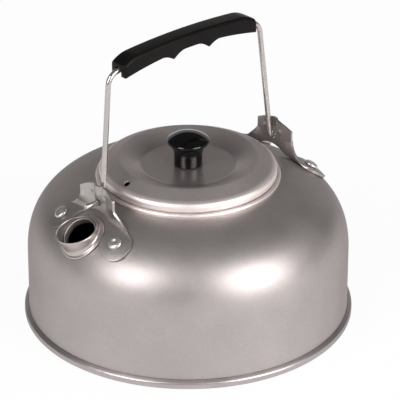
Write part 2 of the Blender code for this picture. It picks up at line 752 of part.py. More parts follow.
def make_lid(carrier, parts, tools, aluminium):
    """The stepped lid with its steam hole."""
    top = lid_line()
    ledge = rounded([(LID_SKIRT_RADIUS, 2.0 * LID_LEDGE_ROUND, 0.0),
                     (LID_SKIRT_RADIUS, 0.0, LID_LEDGE_ROUND), (LID_PLUG_RADIUS, 0.0, 0.0),
                     (LID_PLUG_RADIUS, -LID_PLUG_DEPTH, 0.0)])[1:]
    plug_inside = LID_PLUG_RADIUS - LID_SHEET
    joggle = [(plug_inside, -LID_PLUG_DEPTH), (plug_inside, LID_LEDGE_ROUND),
              (LID_SKIRT_RADIUS - LID_SHEET, LID_SHEET + 2.0 * LID_LEDGE_ROUND)]
    under = beneath(top, LID_SHEET)[:-1]
    lid = turned("lid_shell", top + ledge + joggle + under[::-1], parts, aluminium, closed=True)
    lid.parent = carrier
    vent_place = Matrix.Translation((-VENT_DISTANCE, 0.0, LID_SEAT + LID_CREST_RISE))
    boolean(lid, cylinder_cutter("vent", VENT_RADIUS, 4.0 * LID_CREST_RISE, vent_place, tools),
            "DIFFERENCE")


def knob_profile():
    """Section of the knob: dome, brim, undercut stem and the blind hole for its insert."""
    top = KNOB_BASE + KNOB_HEIGHT
    brim = KNOB_RADIUS - KNOB_BRIM_ROUND
    meeting = math.degrees(math.acos(brim / (KNOB_DOME_ROUND - KNOB_BRIM_ROUND)))
    dome = arc(0.0, top - KNOB_DOME_ROUND, KNOB_DOME_ROUND, 90.0, meeting, DOME_STEPS)
    brim_height = (top - KNOB_DOME_ROUND
                   + (KNOB_DOME_ROUND - KNOB_BRIM_ROUND) * math.sin(math.radians(meeting)))
    turn = arc(brim, brim_height, KNOB_BRIM_ROUND, meeting, -KNOB_BRIM_TURN, DOME_STEPS)[1:]
    start = Vector(turn[-1])
    ahead = Vector((-math.sin(math.radians(KNOB_BRIM_TURN)), -math.cos(math.radians(KNOB_BRIM_TURN))))
    end = Vector((KNOB_STEM_RADIUS, brim_height - KNOB_UNDERCUT))
    curve = (start, start + ahead * KNOB_UNDERCUT_HANDLE,
             end + Vector((0.0, KNOB_UNDERCUT_HANDLE)), end)
    undercut = [tuple(bezier(curve, step / UNDERCUT_STEPS)[0]) for step in range(1, UNDERCUT_STEPS + 1)]
    hole = INSERT_RADIUS + GAP
    depth = INSERT_LENGTH + 2.0 * GAP
    stem = [(KNOB_STEM_RADIUS, KNOB_BASE), (hole, KNOB_BASE), (hole, KNOB_BASE + depth),
            (0.0, KNOB_BASE + depth)]
    return dome + turn + undercut + stem


def make_knob(carrier, parts, tools, plastic, steel, brass):
    """The knob, its threaded insert, and the screw and washer that hold it from below."""
    knob = turned("knob", knob_profile(), parts, plastic, steps=KNOB_STEPS)
    insert_top = KNOB_BASE + GAP + INSERT_LENGTH
    insert = turned("knob_insert", [(SCREW_HOLE_RADIUS, insert_top), (INSERT_RADIUS, insert_top),
                                    (INSERT_RADIUS, KNOB_BASE + GAP),
                                    (SCREW_HOLE_RADIUS, KNOB_BASE + GAP)],
                    parts, brass, steps=HOLE_STEPS, closed=True)
    washer_top = LID_FLOOR_RISE - LID_SHEET - GAP
    washer = turned("knob_washer", [(SCREW_HOLE_RADIUS, washer_top), (WASHER_RADIUS, washer_top),
                                    (WASHER_RADIUS, washer_top - WASHER_SHEET),
                                    (SCREW_HOLE_RADIUS, washer_top - WASHER_SHEET)],
                    parts, steel, steps=HOLE_STEPS, closed=True)
    head_top = washer_top - WASHER_SHEET - GAP
    head_bottom = head_top - SCREW_HEAD_HEIGHT
    chamfer = SCREW_HEAD_HEIGHT / 3.0
    screw = turned("knob_screw", [(0.0, insert_top - SCREW_TIP_INSET),
                                  (SCREW_RADIUS, insert_top - SCREW_TIP_INSET),
                                  (SCREW_RADIUS, head_top), (SCREW_HEAD_RADIUS, head_top),
                                  (SCREW_HEAD_RADIUS, head_bottom + chamfer),
                                  (SCREW_HEAD_RADIUS - chamfer, head_bottom), (0.0, head_bottom)],
                   parts, steel, steps=HOLE_STEPS)
    slot = box_cutter("screw_slot", (3.0 * SCREW_HEAD_RADIUS, SCREW_SLOT_WIDTH, 2.0 * SCREW_SLOT_DEPTH),
                      (0.0, 0.0, LID_SEAT + head_bottom), tools)
    boolean(screw, slot, "DIFFERENCE")
    for piece in (knob, insert, washer, screw):
        piece.parent = carrier


# Bail, with heights above its pivot

def wire_height(x):
    """Centre of the wire inside the grip."""
    return WIRE_TOP_RISE - WIRE_CROWN * (x / GRIP_HALF_LENGTH) ** 2


def wire_route():
    """Centre line of the bail wire, from one tail to the other, as (x, height) points."""
    run = GRIP_HALF_LENGTH - 2.0 * WIRE_RADIUS
    slope = 2.0 * WIRE_CROWN * run / GRIP_HALF_LENGTH ** 2
    corner = wire_height(run) - slope * (WIRE_HALF_WIDTH - run)
    arch = [(-run + 2.0 * run * step / WIRE_ARCH_STEPS, 0.0) for step in range(WIRE_ARCH_STEPS + 1)]
    corners = [(-BRACKET_REACH - WIRE_TAIL, 0.0, 0.0), (-WIRE_ELBOW, 0.0, WIRE_ELBOW_ROUND),
               (-WIRE_HALF_WIDTH, corner, WIRE_CORNER_ROUND)]
    corners += [(x, wire_height(x), 0.0) for x, _ in arch]
    corners += [(WIRE_HALF_WIDTH, corner, WIRE_CORNER_ROUND), (WIRE_ELBOW, 0.0, WIRE_ELBOW_ROUND),
                (BRACKET_REACH + WIRE_TAIL, 0.0, 0.0)]
    return rounded(corners, steps=WIRE_BEND_STEPS)


def make_wire(carrier, parts, steel):
    """The bail: one round wire, bent outward through both brackets."""
    route = wire_route()
    curve = bpy.data.curves.new("bail_wire", "CURVE")
    curve.dimensions = "3D"
    curve.bevel_depth = WIRE_RADIUS
    curve.bevel_resolution = WIRE_RING_STEPS
    curve.use_fill_caps = True
    curve.twist_mode = "MINIMUM"
    spline = curve.splines.new("POLY")
    spline.points.add(len(route) - 1)
    spline.use_smooth = True
    for point, (x, height) in zip(spline.points, route):
        point.co = (x, 0.0, height, 1.0)
    wire = place(curve, "bail_wire", parts, steel)
    wire.parent = carrier


def grip_top(x):
    """Top of the grip: a shallow arch that drops towards both ends."""
    end = max(0.0, abs(x) - GRIP_HALF_LENGTH + GRIP_END_LENGTH) / GRIP_END_LENGTH
    return GRIP_TOP_RISE - GRIP_TOP_CROWN * (x / GRIP_HALF_LENGTH) ** 2 - GRIP_END_DROP * end ** 2


def grip_bottom(x):
    """Lower edge of the grip's sides: an arch with a ridge between the finger hollows."""
    ridge = max(0.0, 1.0 - abs(abs(x) - RIDGE_OFFSET) / RIDGE_HALF_WIDTH) ** RIDGE_SHARPNESS
    return (WIRE_TOP_RISE - GRIP_SIDE_DROP - GRIP_BOTTOM_CROWN * (x / GRIP_HALF_LENGTH) ** 2
            - RIDGE_DEPTH * ridge)


def grip_section(x, inset):
    """Outline of the grip's channel section at x, drawn in by an inset at its ends."""
    half = GRIP_HALF_WIDTH - inset
    top = grip_top(x) - inset
    bottom = grip_bottom(x) + inset
    channel = WIRE_RADIUS + GRIP_CHANNEL_CLEARANCE
    ceiling = wire_height(x) + WIRE_RADIUS + GAP
    crown = arc(half - GRIP_EDGE_ROUND, top - GRIP_EDGE_ROUND, GRIP_EDGE_ROUND, 0.0, 90.0, CORNER_STEPS)
    toe = GRIP_TOE_ROUND
    right = [(channel, ceiling - toe), (channel, bottom), (half - toe, bottom), (half, bottom + toe)]
    right += crown
    left = [(-y, height) for y, height in reversed(right)]
    return [(channel - toe, ceiling)] + right + left + [(toe - channel, ceiling)]


def grip_stations():
    """Places along the grip where it is sectioned, with the inset of each."""
    run = GRIP_HALF_LENGTH - GRIP_END_LENGTH
    ridge = [RIDGE_OFFSET + RIDGE_HALF_WIDTH * share for share in RIDGE_SHARES]
    half = [0.0] + ridge + [(ridge[-1] + run) / 2.0, run]
    half += [run + GRIP_END_LENGTH * step / GRIP_END_STEPS for step in range(1, GRIP_END_STEPS)]
    ends = [(GRIP_HALF_LENGTH - GRIP_TOE_ROUND, 0.0), (GRIP_HALF_LENGTH, GRIP_TOE_ROUND)]
    right = [(x, 0.0) for x in half] + ends
    return [(-x, inset) for x, inset in reversed(right[1:])] + right


def make_grip(carrier, parts, plastic):
    """The grip: a channel of plastic over the wire, lofted along its sections."""
    shape = bmesh.new()
    rings = []
    for x, inset in grip_stations():
        rings.append([shape.verts.new((x, y, height)) for y, height in grip_section(x, inset)])
    count = len(rings[0])
    for before, after in zip(rings, rings[1:]):
        for index in range(count):
            following = (index + 1) % count
            shape.faces.new((before[index], before[following], after[following], after[index]))
    shape.faces.new(rings[0][::-1])
    shape.faces.new(rings[-1])
    bmesh.ops.recalc_face_normals(shape, faces=shape.faces)
    mesh = bpy.data.meshes.new("grip")
    shape.to_mesh(mesh)
    shape.free()
    smooth(mesh)
    grip = place(mesh, "grip", parts, plastic)
    grip.parent = carrier


def main():
    """Build the kettle."""
    clear_scene()
    parts = collection("tea_kettle")
    tools = collection("cutters")
    aluminium = finish("satin aluminium", (0.60, 0.57, 0.55), 1.0, 0.42)
    steel = finish("bright steel", (0.68, 0.67, 0.66), 1.0, 0.25)
    alloy = finish("rivet alloy", (0.70, 0.69, 0.67), 1.0, 0.35)
    brass = finish("brass", (0.78, 0.62, 0.32), 1.0, 0.35)
    gloss_black = finish("gloss black plastic", (0.008, 0.008, 0.008), 0.0, 0.12)
    satin_black = finish("satin black plastic", (0.015, 0.014, 0.014), 0.0, 0.45)
    make_body(parts, tools, aluminium)
    make_base_pan(parts, aluminium)
    make_spout(parts, aluminium)
    make_brackets(parts, tools, steel)
    make_rivets(parts, alloy)
    lid = pivot_empty("lid_lift", LID_SEAT, parts)
    make_lid(lid, parts, tools, aluminium)
    make_knob(lid, parts, tools, gloss_black, steel, brass)
    bail = pivot_empty("bail_pivot", PIVOT_HEIGHT, parts, BAIL_LEAN)
    make_wire(bail, parts, steel)
    make_grip(bail, parts, satin_black)


if __name__ == "__main__":
    main()
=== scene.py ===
"""Camping tea kettle: spun satin aluminium body, stepped lid, riveted brackets and a folding wire bail.

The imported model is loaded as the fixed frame. Its turned and bent pieces are modelled again here,
at the same sizes and with finer curves, and every piece gets a procedural finish.
"""
import logging
import math
from bisect import bisect_left
from dataclasses import dataclass
from enum import Enum
from functools import lru_cache
from typing import Callable, ClassVar, NamedTuple, Sequence

import bmesh
import bpy
from mathutils import Matrix, Vector


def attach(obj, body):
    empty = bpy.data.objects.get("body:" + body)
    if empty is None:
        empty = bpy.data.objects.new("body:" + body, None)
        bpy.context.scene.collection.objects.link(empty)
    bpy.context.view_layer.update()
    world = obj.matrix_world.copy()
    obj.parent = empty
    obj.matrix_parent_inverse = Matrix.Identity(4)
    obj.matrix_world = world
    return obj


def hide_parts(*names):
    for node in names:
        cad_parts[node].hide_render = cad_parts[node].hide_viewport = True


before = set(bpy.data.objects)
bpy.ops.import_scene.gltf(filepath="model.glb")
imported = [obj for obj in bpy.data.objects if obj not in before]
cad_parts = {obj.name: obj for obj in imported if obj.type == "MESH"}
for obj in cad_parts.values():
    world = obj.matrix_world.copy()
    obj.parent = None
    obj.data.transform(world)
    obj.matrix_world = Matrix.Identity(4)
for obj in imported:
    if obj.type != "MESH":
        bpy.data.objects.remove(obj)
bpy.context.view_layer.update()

LOG = logging.getLogger("tea_kettle")

Point = tuple[float, float]
Corner = tuple[float, float, float]
Colour = tuple[float, float, float]

# A noise: its features to the metre, its detail and its roughness
Noise = tuple[float, float, float]

# Sizes that several pieces share
GAP: float = 0.0003
BODY_SHEET: float = 0.0010
PIVOT_HEIGHT: float = 0.0732022659778595


class Slot(Enum):
    """The record's material slots."""

    SATIN_ALUMINIUM = "satin_aluminium"
    BRIGHT_STEEL = "bright_steel"
    RIVET_ALLOY = "rivet_alloy"
    BRASS = "brass"
    GLOSS_BLACK = "gloss_black"
    SATIN_BLACK = "satin_black"


class PaintedHighlight(Enum):
    """Where a painted highlight brightens a metal's colour."""

    NOWHERE = "nowhere"
    FROM_RADIUS = "from a radius"
    FROM_HEIGHT = "from a height"


class Carrier(Enum):
    """The bodies of the kettle that move as one."""

    KETTLE = "kettle"
    LID = "lid"
    BAIL = "bail"


# Lines and curves


def arc(centre_x: float, centre_z: float, radius: float, start: float, end: float, steps: int) -> list[Point]:
    """Points along a circular arc between two angles in degrees, both ends among them."""
    angles = [math.radians(start + (end - start) * step / steps) for step in range(steps + 1)]
    return [(centre_x + radius * math.cos(angle), centre_z + radius * math.sin(angle)) for angle in angles]


def bezier(points: Sequence[Point], share: float) -> tuple[Vector, Vector]:
    """Point and direction of a cubic curve.

    Args:
        points: Its four control points.
        share: Share of its parameter, from 0 to 1.

    Returns:
        The point and the unit direction there.
    """
    start, first, second, end = (Vector(point) for point in points)
    rest = 1.0 - share
    place = start * rest**3 + first * 3.0 * rest**2 * share + second * 3.0 * rest * share**2 + end * share**3
    direction = (first - start) * rest**2 + (second - first) * 2.0 * rest * share + (end - second) * share**2
    return place, direction.normalized()


def swept(points: Sequence[Point], steps: int) -> list[Point]:
    """Points along a cubic curve, both ends among them."""
    return [tuple(bezier(points, step / steps)[0]) for step in range(steps + 1)]


def part_way(start: Point, end: Point, share: float) -> Point:
    """The point at a share of the way from one point to another."""
    return tuple(Vector(start).lerp(Vector(end), share))


def heading(azimuth: float, elevation: float) -> Vector:
    """Direction from the kettle at an azimuth and an elevation in degrees."""
    turn, rise = math.radians(azimuth), math.radians(elevation)
    return Vector((math.sin(turn) * math.cos(rise), -math.cos(turn) * math.cos(rise), math.sin(rise)))


def rounded(corners: Sequence[Corner], steps: int) -> list[Point]:
    """A line through corners, each rounded with its own radius.

    Args:
        corners: The corners, as two coordinates and a radius.
        steps: Straight steps in each rounding.

    Returns:
        The points of the line.
    """
    outline: list[Point] = [corners[0][:2]]
    for before, corner, after in zip(corners, corners[1:], corners[2:]):
        middle = Vector(corner[:2])
        if corner[2] == 0.0:
            outline.append(tuple(middle))
            continue
        back = (Vector(before[:2]) - middle).normalized()
        ahead = (Vector(after[:2]) - middle).normalized()
        half = back.angle(ahead) / 2.0
        centre = middle + (back + ahead).normalized() * corner[2] / math.sin(half)
        start = middle + back * corner[2] / math.tan(half) - centre
        end = middle + ahead * corner[2] / math.tan(half) - centre
        turn = start.angle(end)
        for step in range(steps + 1):
            share = step / steps
            spoke = (start * math.sin((1.0 - share) * turn) + end * math.sin(share * turn)) / math.sin(turn)
            outline.append(tuple(centre + spoke))
    outline.append(corners[-1][:2])
    return outline


def beneath(line: Sequence[Point], depth: float) -> list[Point]:
    """The same line moved to its right-hand side.

    Args:
        line: The points of the line.
        depth: How far it moves.

    Returns:
        The moved points.
    """
    moved = []
    for index, point in enumerate(line):
        before = Vector(line[max(index - 1, 0)])
        after = Vector(line[min(index + 1, len(line) - 1)])
        here = Vector(point)
        into = (here - before).normalized() if index > 0 else (after - here).normalized()
        onward = (after - here).normalized() if index < len(line) - 1 else into
        side = Vector((into.y, -into.x)) + Vector((onward.y, -onward.x))
        side.normalize()
        moved.append(tuple(here + side * depth / side.dot(Vector((into.y, -into.x)))))
    return moved


def spaced(line: Sequence[Point], count: int) -> list[Point]:
    """Evenly spaced points along a line, its start left out and its end among them.

    Args:
        line: The line's points.
        count: How many points to place.

    Returns:
        The points.
    """
    lengths = [0.0]
    for before, after in zip(line, line[1:]):
        lengths.append(lengths[-1] + math.dist(before, after))
    points = []
    for step in range(1, count + 1):
        length = lengths[-1] * step / count
        index = min(bisect_left(lengths, length), len(lengths) - 1)
        share = (length - lengths[index - 1]) / (lengths[index] - lengths[index - 1])
        points.append(part_way(line[index - 1], line[index], share))
    return points


def filled(line: Sequence[Point], longest: float) -> list[Point]:
    """The same line with points added, so that no step is long.

    Args:
        line: The line's points.
        longest: The longest step.

    Returns:
        The points.
    """
    points = [line[0]]
    for before, after in zip(line, line[1:]):
        count = max(1, math.ceil(math.dist(before, after) / longest))
        points += [part_way(before, after, step / count) for step in range(1, count + 1)]
    return points


@dataclass(frozen=True)
class Shoulder:
    """The body's curved shoulder, which the spout, the brackets and the rivets sit on."""

    wall_radius: float = 0.0753
    wall_height: float = 0.0329
    low_handle: float = 0.0227
    high_handle: float = 0.0190
    neck_radius: float = 0.0434
    neck_height: float = 0.0683
    neck_slope: float = math.radians(14.2)
    searches: int = 36
    rung_count: int = 1600
    smallest_step: float = 1e-8

    def control_points(self) -> tuple[Point, Point, Point, Point]:
        """Control points of the outer face, from the wall up to the neck.

        Returns:
            The four points.
        """
        high = (
            self.neck_radius + self.high_handle * math.cos(self.neck_slope),
            self.neck_height - self.high_handle * math.sin(self.neck_slope),
        )
        low = (self.wall_radius, self.wall_height + self.low_handle)
        return (self.wall_radius, self.wall_height), low, high, (self.neck_radius, self.neck_height)

    def face(self, share: float, lift: float = 0.0) -> tuple[Vector, Vector]:
        """Point of the section and its outward normal.

        Args:
            share: Share of the curve, from the wall up.
            lift: Distance outside the face.

        Returns:
            The point and the normal.
        """
        place, direction = bezier(self.control_points(), share)
        normal = Vector((direction.y, -direction.x))
        return place + normal * lift, normal

    @lru_cache(maxsize=None)
    def rungs(self, lift: float) -> tuple[list[float], list[float], list[float]]:
        """Points of the face from the neck out, close together.

        Args:
            lift: Distance outside the face.

        Returns:
            Their radii, their heights and the tilts of their normals from the vertical.
        """
        faces = [self.face(1.0 - step / self.rung_count, lift) for step in range(self.rung_count + 1)]
        tilts = [math.atan2(normal.x, normal.y) for _, normal in faces]
        return [place.x for place, _ in faces], [place.y for place, _ in faces], tilts

    def at(self, radius: float, lift: float = 0.0) -> tuple[float, float]:
        """Height and tilt of the shoulder.

        Args:
            radius: Distance from the kettle's axis.
            lift: Distance outside the face.

        Returns:
            The height and the tilt of its normal from the vertical.
        """
        radii, heights, tilts = self.rungs(lift)
        index = min(max(bisect_left(radii, radius), 1), len(radii) - 1)
        step = max(radii[index] - radii[index - 1], self.smallest_step)
        share = min(max((radius - radii[index - 1]) / step, 0.0), 1.0)
        height = heights[index - 1] + (heights[index] - heights[index - 1]) * share
        return height, tilts[index - 1] + (tilts[index] - tilts[index - 1]) * share

    def seat(self, radius: float, azimuth: float) -> Matrix:
        """Frame on the shoulder: local Z leaves it square and local X runs down the slope.

        Args:
            radius: Distance from the kettle's axis.
            azimuth: Angle round the axis from +X.

        Returns:
            The frame.
        """
        height, tilt = self.at(radius)
        place = Matrix.Translation((radius * math.cos(azimuth), radius * math.sin(azimuth), height))
        return place @ Matrix.Rotation(azimuth, 4, "Z") @ Matrix.Rotation(tilt, 4, "Y")

    def saddle(self, seat: Matrix, x: float, y: float, reach: float) -> float:
        """Height of the shoulder above a seat's own plane.

        Args:
            seat: The seat's frame.
            x: Local place down the slope.
            y: Local place across it.
            reach: How far to search each way.

        Returns:
            The height.
        """
        low, high = -reach, reach
        for _ in range(self.searches):
            middle = (low + high) / 2.0
            point = seat @ Vector((x, y, middle))
            if point.z > self.at(math.hypot(point.x, point.y))[0]:
                high = middle
            else:
                low = middle
        return low


SHOULDER = Shoulder()


# Hand work


class Bench:
    """Hand work on meshes: turning, cutting, bevelling and shading."""

    merge_distance: ClassVar[float] = 0.00001

    @staticmethod
    def take(piece: bpy.types.Object) -> None:
        """Select one piece alone and make it active.

        Args:
            piece: The piece.
        """
        bpy.ops.object.select_all(action="DESELECT")
        piece.select_set(True)
        bpy.context.view_layer.objects.active = piece

    @staticmethod
    def name(piece: bpy.types.Object, name: str) -> bpy.types.Object:
        """Give a piece and its mesh their name.

        Args:
            piece: The piece.
            name: The name.

        Returns:
            The piece.
        """
        piece.name = name
        piece.data.name = name
        return piece

    @classmethod
    def turn(cls, name: str, profile: Sequence[Point], steps: int) -> bpy.types.Object:
        """A piece turned about Z: a ring is extruded and resized along a profile.

        Args:
            name: Its name.
            profile: Radius and height of each ring; a radius of 0 is a pole, and a last point equal
                to the first closes the section.
            steps: Sides of the ring.

        Returns:
            The piece.
        """
        bpy.ops.object.select_all(action="DESELECT")
        tip = profile[0][0] == 0.0
        rings = list(profile[1:] if tip else profile)
        radius, height = rings[0]
        bpy.ops.mesh.primitive_circle_add(
            vertices=steps,
            radius=radius,
            fill_type="TRIFAN" if tip else "NOTHING",
            location=(0.0, 0.0, height),
        )
        piece = cls.name(bpy.context.active_object, name)
        bpy.ops.object.transform_apply(location=True, rotation=True, scale=True)
        bpy.ops.object.mode_set(mode="EDIT")
        bpy.ops.mesh.select_mode(type="VERT")
        if tip:
            cls.pick_vertices(piece, lambda place: math.hypot(place.x, place.y) < radius / 2.0)
            bpy.ops.transform.translate(value=(0.0, 0.0, profile[0][1] - height))
            cls.pick_vertices(piece, lambda place: math.hypot(place.x, place.y) > radius / 2.0)
        else:
            bpy.ops.mesh.select_all(action="SELECT")
        for (before, low), (after, high) in zip(rings, rings[1:]):
            bpy.ops.mesh.extrude_region_move(TRANSFORM_OT_translate={"value": (0.0, 0.0, high - low)})
            if after == 0.0:
                bpy.ops.mesh.merge(type="CENTER")
            elif after != before:
                ratio = after / before
                bpy.ops.transform.resize(value=(ratio, ratio, 1.0), center_override=(0.0, 0.0, high))
        cls.close(piece)
        return piece

    @classmethod
    def close(cls, piece: bpy.types.Object) -> None:
        """Merge what meets, turn the faces outward and leave edit mode.

        Args:
            piece: The piece being edited; not used.
        """
        bpy.ops.mesh.select_all(action="SELECT")
        bpy.ops.mesh.remove_doubles(threshold=cls.merge_distance)
        bpy.ops.mesh.normals_make_consistent(inside=False)
        bpy.ops.object.mode_set(mode="OBJECT")

    @staticmethod
    def pick_vertices(piece: bpy.types.Object, wanted: Callable[[Vector], bool]) -> None:
        """Select vertices in edit mode by their place.

        Args:
            piece: The piece being edited.
            wanted: Says whether a place is wanted.
        """
        shape = bmesh.from_edit_mesh(piece.data)
        for vertex in shape.verts:
            vertex.select_set(wanted(vertex.co))
        shape.select_flush(True)
        shape.select_flush(False)
        bmesh.update_edit_mesh(piece.data)

    @classmethod
    def loft(cls, name: str, sections: Sequence[Sequence[Vector]]) -> bpy.types.Object:
        """A closed piece extruded from section to section.

        Args:
            name: Its name.
            sections: The outlines, with as many points each.

        Returns:
            The piece.
        """
        bpy.ops.object.select_all(action="DESELECT")
        bpy.ops.mesh.primitive_circle_add(
            vertices=len(sections[0]), radius=1.0, fill_type="NOTHING", location=(0.0, 0.0, 0.0)
        )
        piece = cls.name(bpy.context.active_object, name)
        bpy.ops.object.mode_set(mode="EDIT")
        bpy.ops.mesh.select_mode(type="VERT")
        shape = bmesh.from_edit_mesh(piece.data)
        order = shape.verts.layers.int.new("order")
        for index, vertex in enumerate(shape.verts):
            vertex[order] = index
        bpy.ops.mesh.select_all(action="SELECT")
        for index, section in enumerate(sections):
            if index > 0:
                bpy.ops.mesh.extrude_region_move(TRANSFORM_OT_translate={"value": (0.0, 0.0, 0.0)})
            shape = bmesh.from_edit_mesh(piece.data)
            order = shape.verts.layers.int["order"]
            for vertex in shape.verts:
                if vertex.select:
                    vertex.co = section[vertex[order]]
            bmesh.update_edit_mesh(piece.data)
            if index == 0 or index == len(sections) - 1:
                bpy.ops.mesh.edge_face_add()
            if index == 0:
                shape = bmesh.from_edit_mesh(piece.data)
                for face in shape.faces:
                    face.select_set(False)
                for edge in shape.edges:
                    edge.select_set(True)
                bmesh.update_edit_mesh(piece.data)
        cls.close(piece)
        return piece

    @classmethod
    def modify(cls, piece: bpy.types.Object, kind: str, settings: dict[str, object]) -> None:
        """Give a piece a modifier and apply it.

        Args:
            piece: The piece.
            kind: The modifier's type.
            settings: Values of its properties.
        """
        cls.take(piece)
        modifier = piece.modifiers.new(kind.lower(), kind)
        for key, value in settings.items():
            setattr(modifier, key, value)
        bpy.ops.object.modifier_apply(modifier=modifier.name)

    @classmethod
    def cut(cls, piece: bpy.types.Object, cutter: bpy.types.Object) -> None:
        """Cut a cutter's shape out of a piece and remove the cutter."""
        cls.modify(piece, "BOOLEAN", {"operation": "DIFFERENCE", "solver": "EXACT", "object": cutter})
        bpy.data.objects.remove(cutter, do_unlink=True)

    @classmethod
    def bevel(cls, piece: bpy.types.Object, width: float, segments: int, angle: float) -> None:
        """Round a piece's edges where they are sharper than an angle."""
        settings = {"width": width, "segments": segments, "limit_method": "ANGLE", "angle_limit": angle}
        cls.modify(piece, "BEVEL", settings)

    @classmethod
    def shade(cls, piece: bpy.types.Object, angle: float) -> None:
        """Shade a piece smooth up to an angle."""
        cls.take(piece)
        bpy.ops.object.shade_smooth_by_angle(angle=angle)

    @classmethod
    def rod(cls, name: str, radius: float, length: float, seat: Matrix, steps: int) -> bpy.types.Object:
        """A cylinder for cutting, centred on a frame along its local Z.

        Args:
            name: Its name.
            radius: Its radius.
            length: Its length.
            seat: The frame.
            steps: Its sides.

        Returns:
            The cutter.
        """
        bpy.ops.object.select_all(action="DESELECT")
        bpy.ops.mesh.primitive_cylinder_add(
            vertices=steps, radius=radius, depth=length, location=(0.0, 0.0, 0.0)
        )
        rod = cls.name(bpy.context.active_object, name)
        rod.data.transform(seat)
        return rod

    @staticmethod
    def copy(piece: bpy.types.Object, name: str, move: Matrix) -> bpy.types.Object:
        """A copy with its own mesh, moved to its place.

        Args:
            piece: What is copied.
            name: The copy's name.
            move: How it moves.

        Returns:
            The copy.
        """
        twin = bpy.data.objects.new(name, piece.data.copy())
        twin.data.name = name
        twin.data.transform(move)
        bpy.context.scene.collection.objects.link(twin)
        return twin


# Finishes


class NodeRow:
    """Short names for building a material's nodes, which it sets out in rows."""

    left: ClassVar[float] = -1600.0
    across: ClassVar[float] = 220.0
    down: ClassVar[float] = -260.0
    columns: ClassVar[int] = 8

    # The Mix node's colour sockets, which share their names with its other sockets
    first_colour: ClassVar[int] = 6
    second_colour: ClassVar[int] = 7
    mixed_colour: ClassVar[int] = 2

    def __init__(self, tree: bpy.types.NodeTree) -> None:
        """Keep the tree that the nodes go into."""
        self.tree = tree
        self.count = 0

    def feed(self, node: bpy.types.Node, inputs: dict[str | int, object]) -> None:
        """Set or link a node's inputs.

        Args:
            node: The node.
            inputs: Values or source sockets, by name or index.
        """
        for key, value in inputs.items():
            if isinstance(value, bpy.types.NodeSocket):
                self.tree.links.new(value, node.inputs[key])
            else:
                node.inputs[key].default_value = value

    def add(self, kind: str, settings: dict | None = None, inputs: dict | None = None) -> bpy.types.Node:
        """Add a node.

        Args:
            kind: Its type.
            settings: Values of its properties.
            inputs: Values or source sockets of its inputs, by name or index.

        Returns:
            The node.
        """
        node = self.tree.nodes.new(kind)
        line, place = divmod(self.count, self.columns)
        node.location = (self.left + self.across * place, self.down * line)
        self.count += 1
        for key, value in (settings or {}).items():
            setattr(node, key, value)
        self.feed(node, inputs or {})
        return node

    def math(self, operation: str, first: object, second: object = 0.0) -> bpy.types.NodeSocket:
        """A sum, product or comparison of two numbers or sockets."""
        return self.add("ShaderNodeMath", {"operation": operation}, {0: first, 1: second}).outputs[0]

    def spread(
        self, value: bpy.types.NodeSocket, low: float, high: float, to_low: float, to_high: float
    ) -> bpy.types.NodeSocket:
        """Map the range from low to high to another range, held at its ends."""
        inputs = {"Value": value, "From Min": low, "From Max": high, "To Min": to_low, "To Max": to_high}
        return self.add("ShaderNodeMapRange", {"clamp": True}, inputs).outputs["Result"]

    def noise(
        self, place: bpy.types.NodeSocket, scale: object, detail: float, roughness: float = 0.5
    ) -> bpy.types.NodeSocket:
        """Noise by its features to the metre, its detail and its roughness."""
        inputs = {"Vector": place, "Scale": scale, "Detail": detail, "Roughness": roughness}
        return self.add("ShaderNodeTexNoise", None, inputs).outputs["Fac"]

    def mix(self, share: object, first: object, second: object, blend: str = "MIX") -> bpy.types.NodeSocket:
        """A mix of two colours.

        Args:
            share: Share of the second colour.
            first: The first colour, with its alpha, or its source.
            second: The second colour, with its alpha, or its source.
            blend: How they are mixed.

        Returns:
            The mixed colour.
        """
        settings = {"data_type": "RGBA", "blend_type": blend}
        inputs = {"Factor": share, self.first_colour: first, self.second_colour: second}
        return self.add("ShaderNodeMix", settings, inputs).outputs[self.mixed_colour]

    def axis(self, place: bpy.types.NodeSocket, name: str) -> bpy.types.NodeSocket:
        """One coordinate of a place."""
        return self.add("ShaderNodeSeparateXYZ", None, {0: place}).outputs[name]

    def radius(self, place: bpy.types.NodeSocket) -> bpy.types.NodeSocket:
        """Distance of a place from the kettle's axis.

        Args:
            place: The place.

        Returns:
            The distance.
        """
        parts = self.add("ShaderNodeSeparateXYZ", None, {0: place}).outputs
        squares = [self.math("MULTIPLY", parts[name], parts[name]) for name in ("X", "Y")]
        return self.math("SQRT", self.math("ADD", *squares))

    def bump(
        self,
        strength: float,
        depth: float,
        height: bpy.types.NodeSocket,
        over: bpy.types.NodeSocket | None = None,
    ) -> bpy.types.NodeSocket:
        """A normal that follows a height.

        Args:
            strength: How strongly it follows.
            depth: Depth of the relief.
            height: The height, from 0 to 1.
            over: The normal that it goes over.

        Returns:
            The normal.
        """
        inputs = {"Strength": strength, "Distance": depth, "Height": height}
        if over is not None:
            inputs["Normal"] = over
        return self.add("ShaderNodeBump", None, inputs).outputs[0]


def effect_group(
    name: str, inputs: dict[str, str], outputs: Sequence[str]
) -> tuple[NodeRow, bpy.types.Node, bpy.types.Node]:
    """Start a shader node group for an effect that several finishes share.

    Args:
        name: Its name.
        inputs: Name and socket type of each input.
        outputs: Names of its outputs, which are numbers.

    Returns:
        The group's row, its input node and its output node.
    """
    group = bpy.data.node_groups.new(name, "ShaderNodeTree")
    for title, kind in inputs.items():
        group.interface.new_socket(name=title, in_out="INPUT", socket_type=kind)
    for title in outputs:
        group.interface.new_socket(name=title, in_out="OUTPUT", socket_type="NodeSocketFloat")
    row = NodeRow(group)
    return row, row.add("NodeGroupInput"), row.add("NodeGroupOutput")


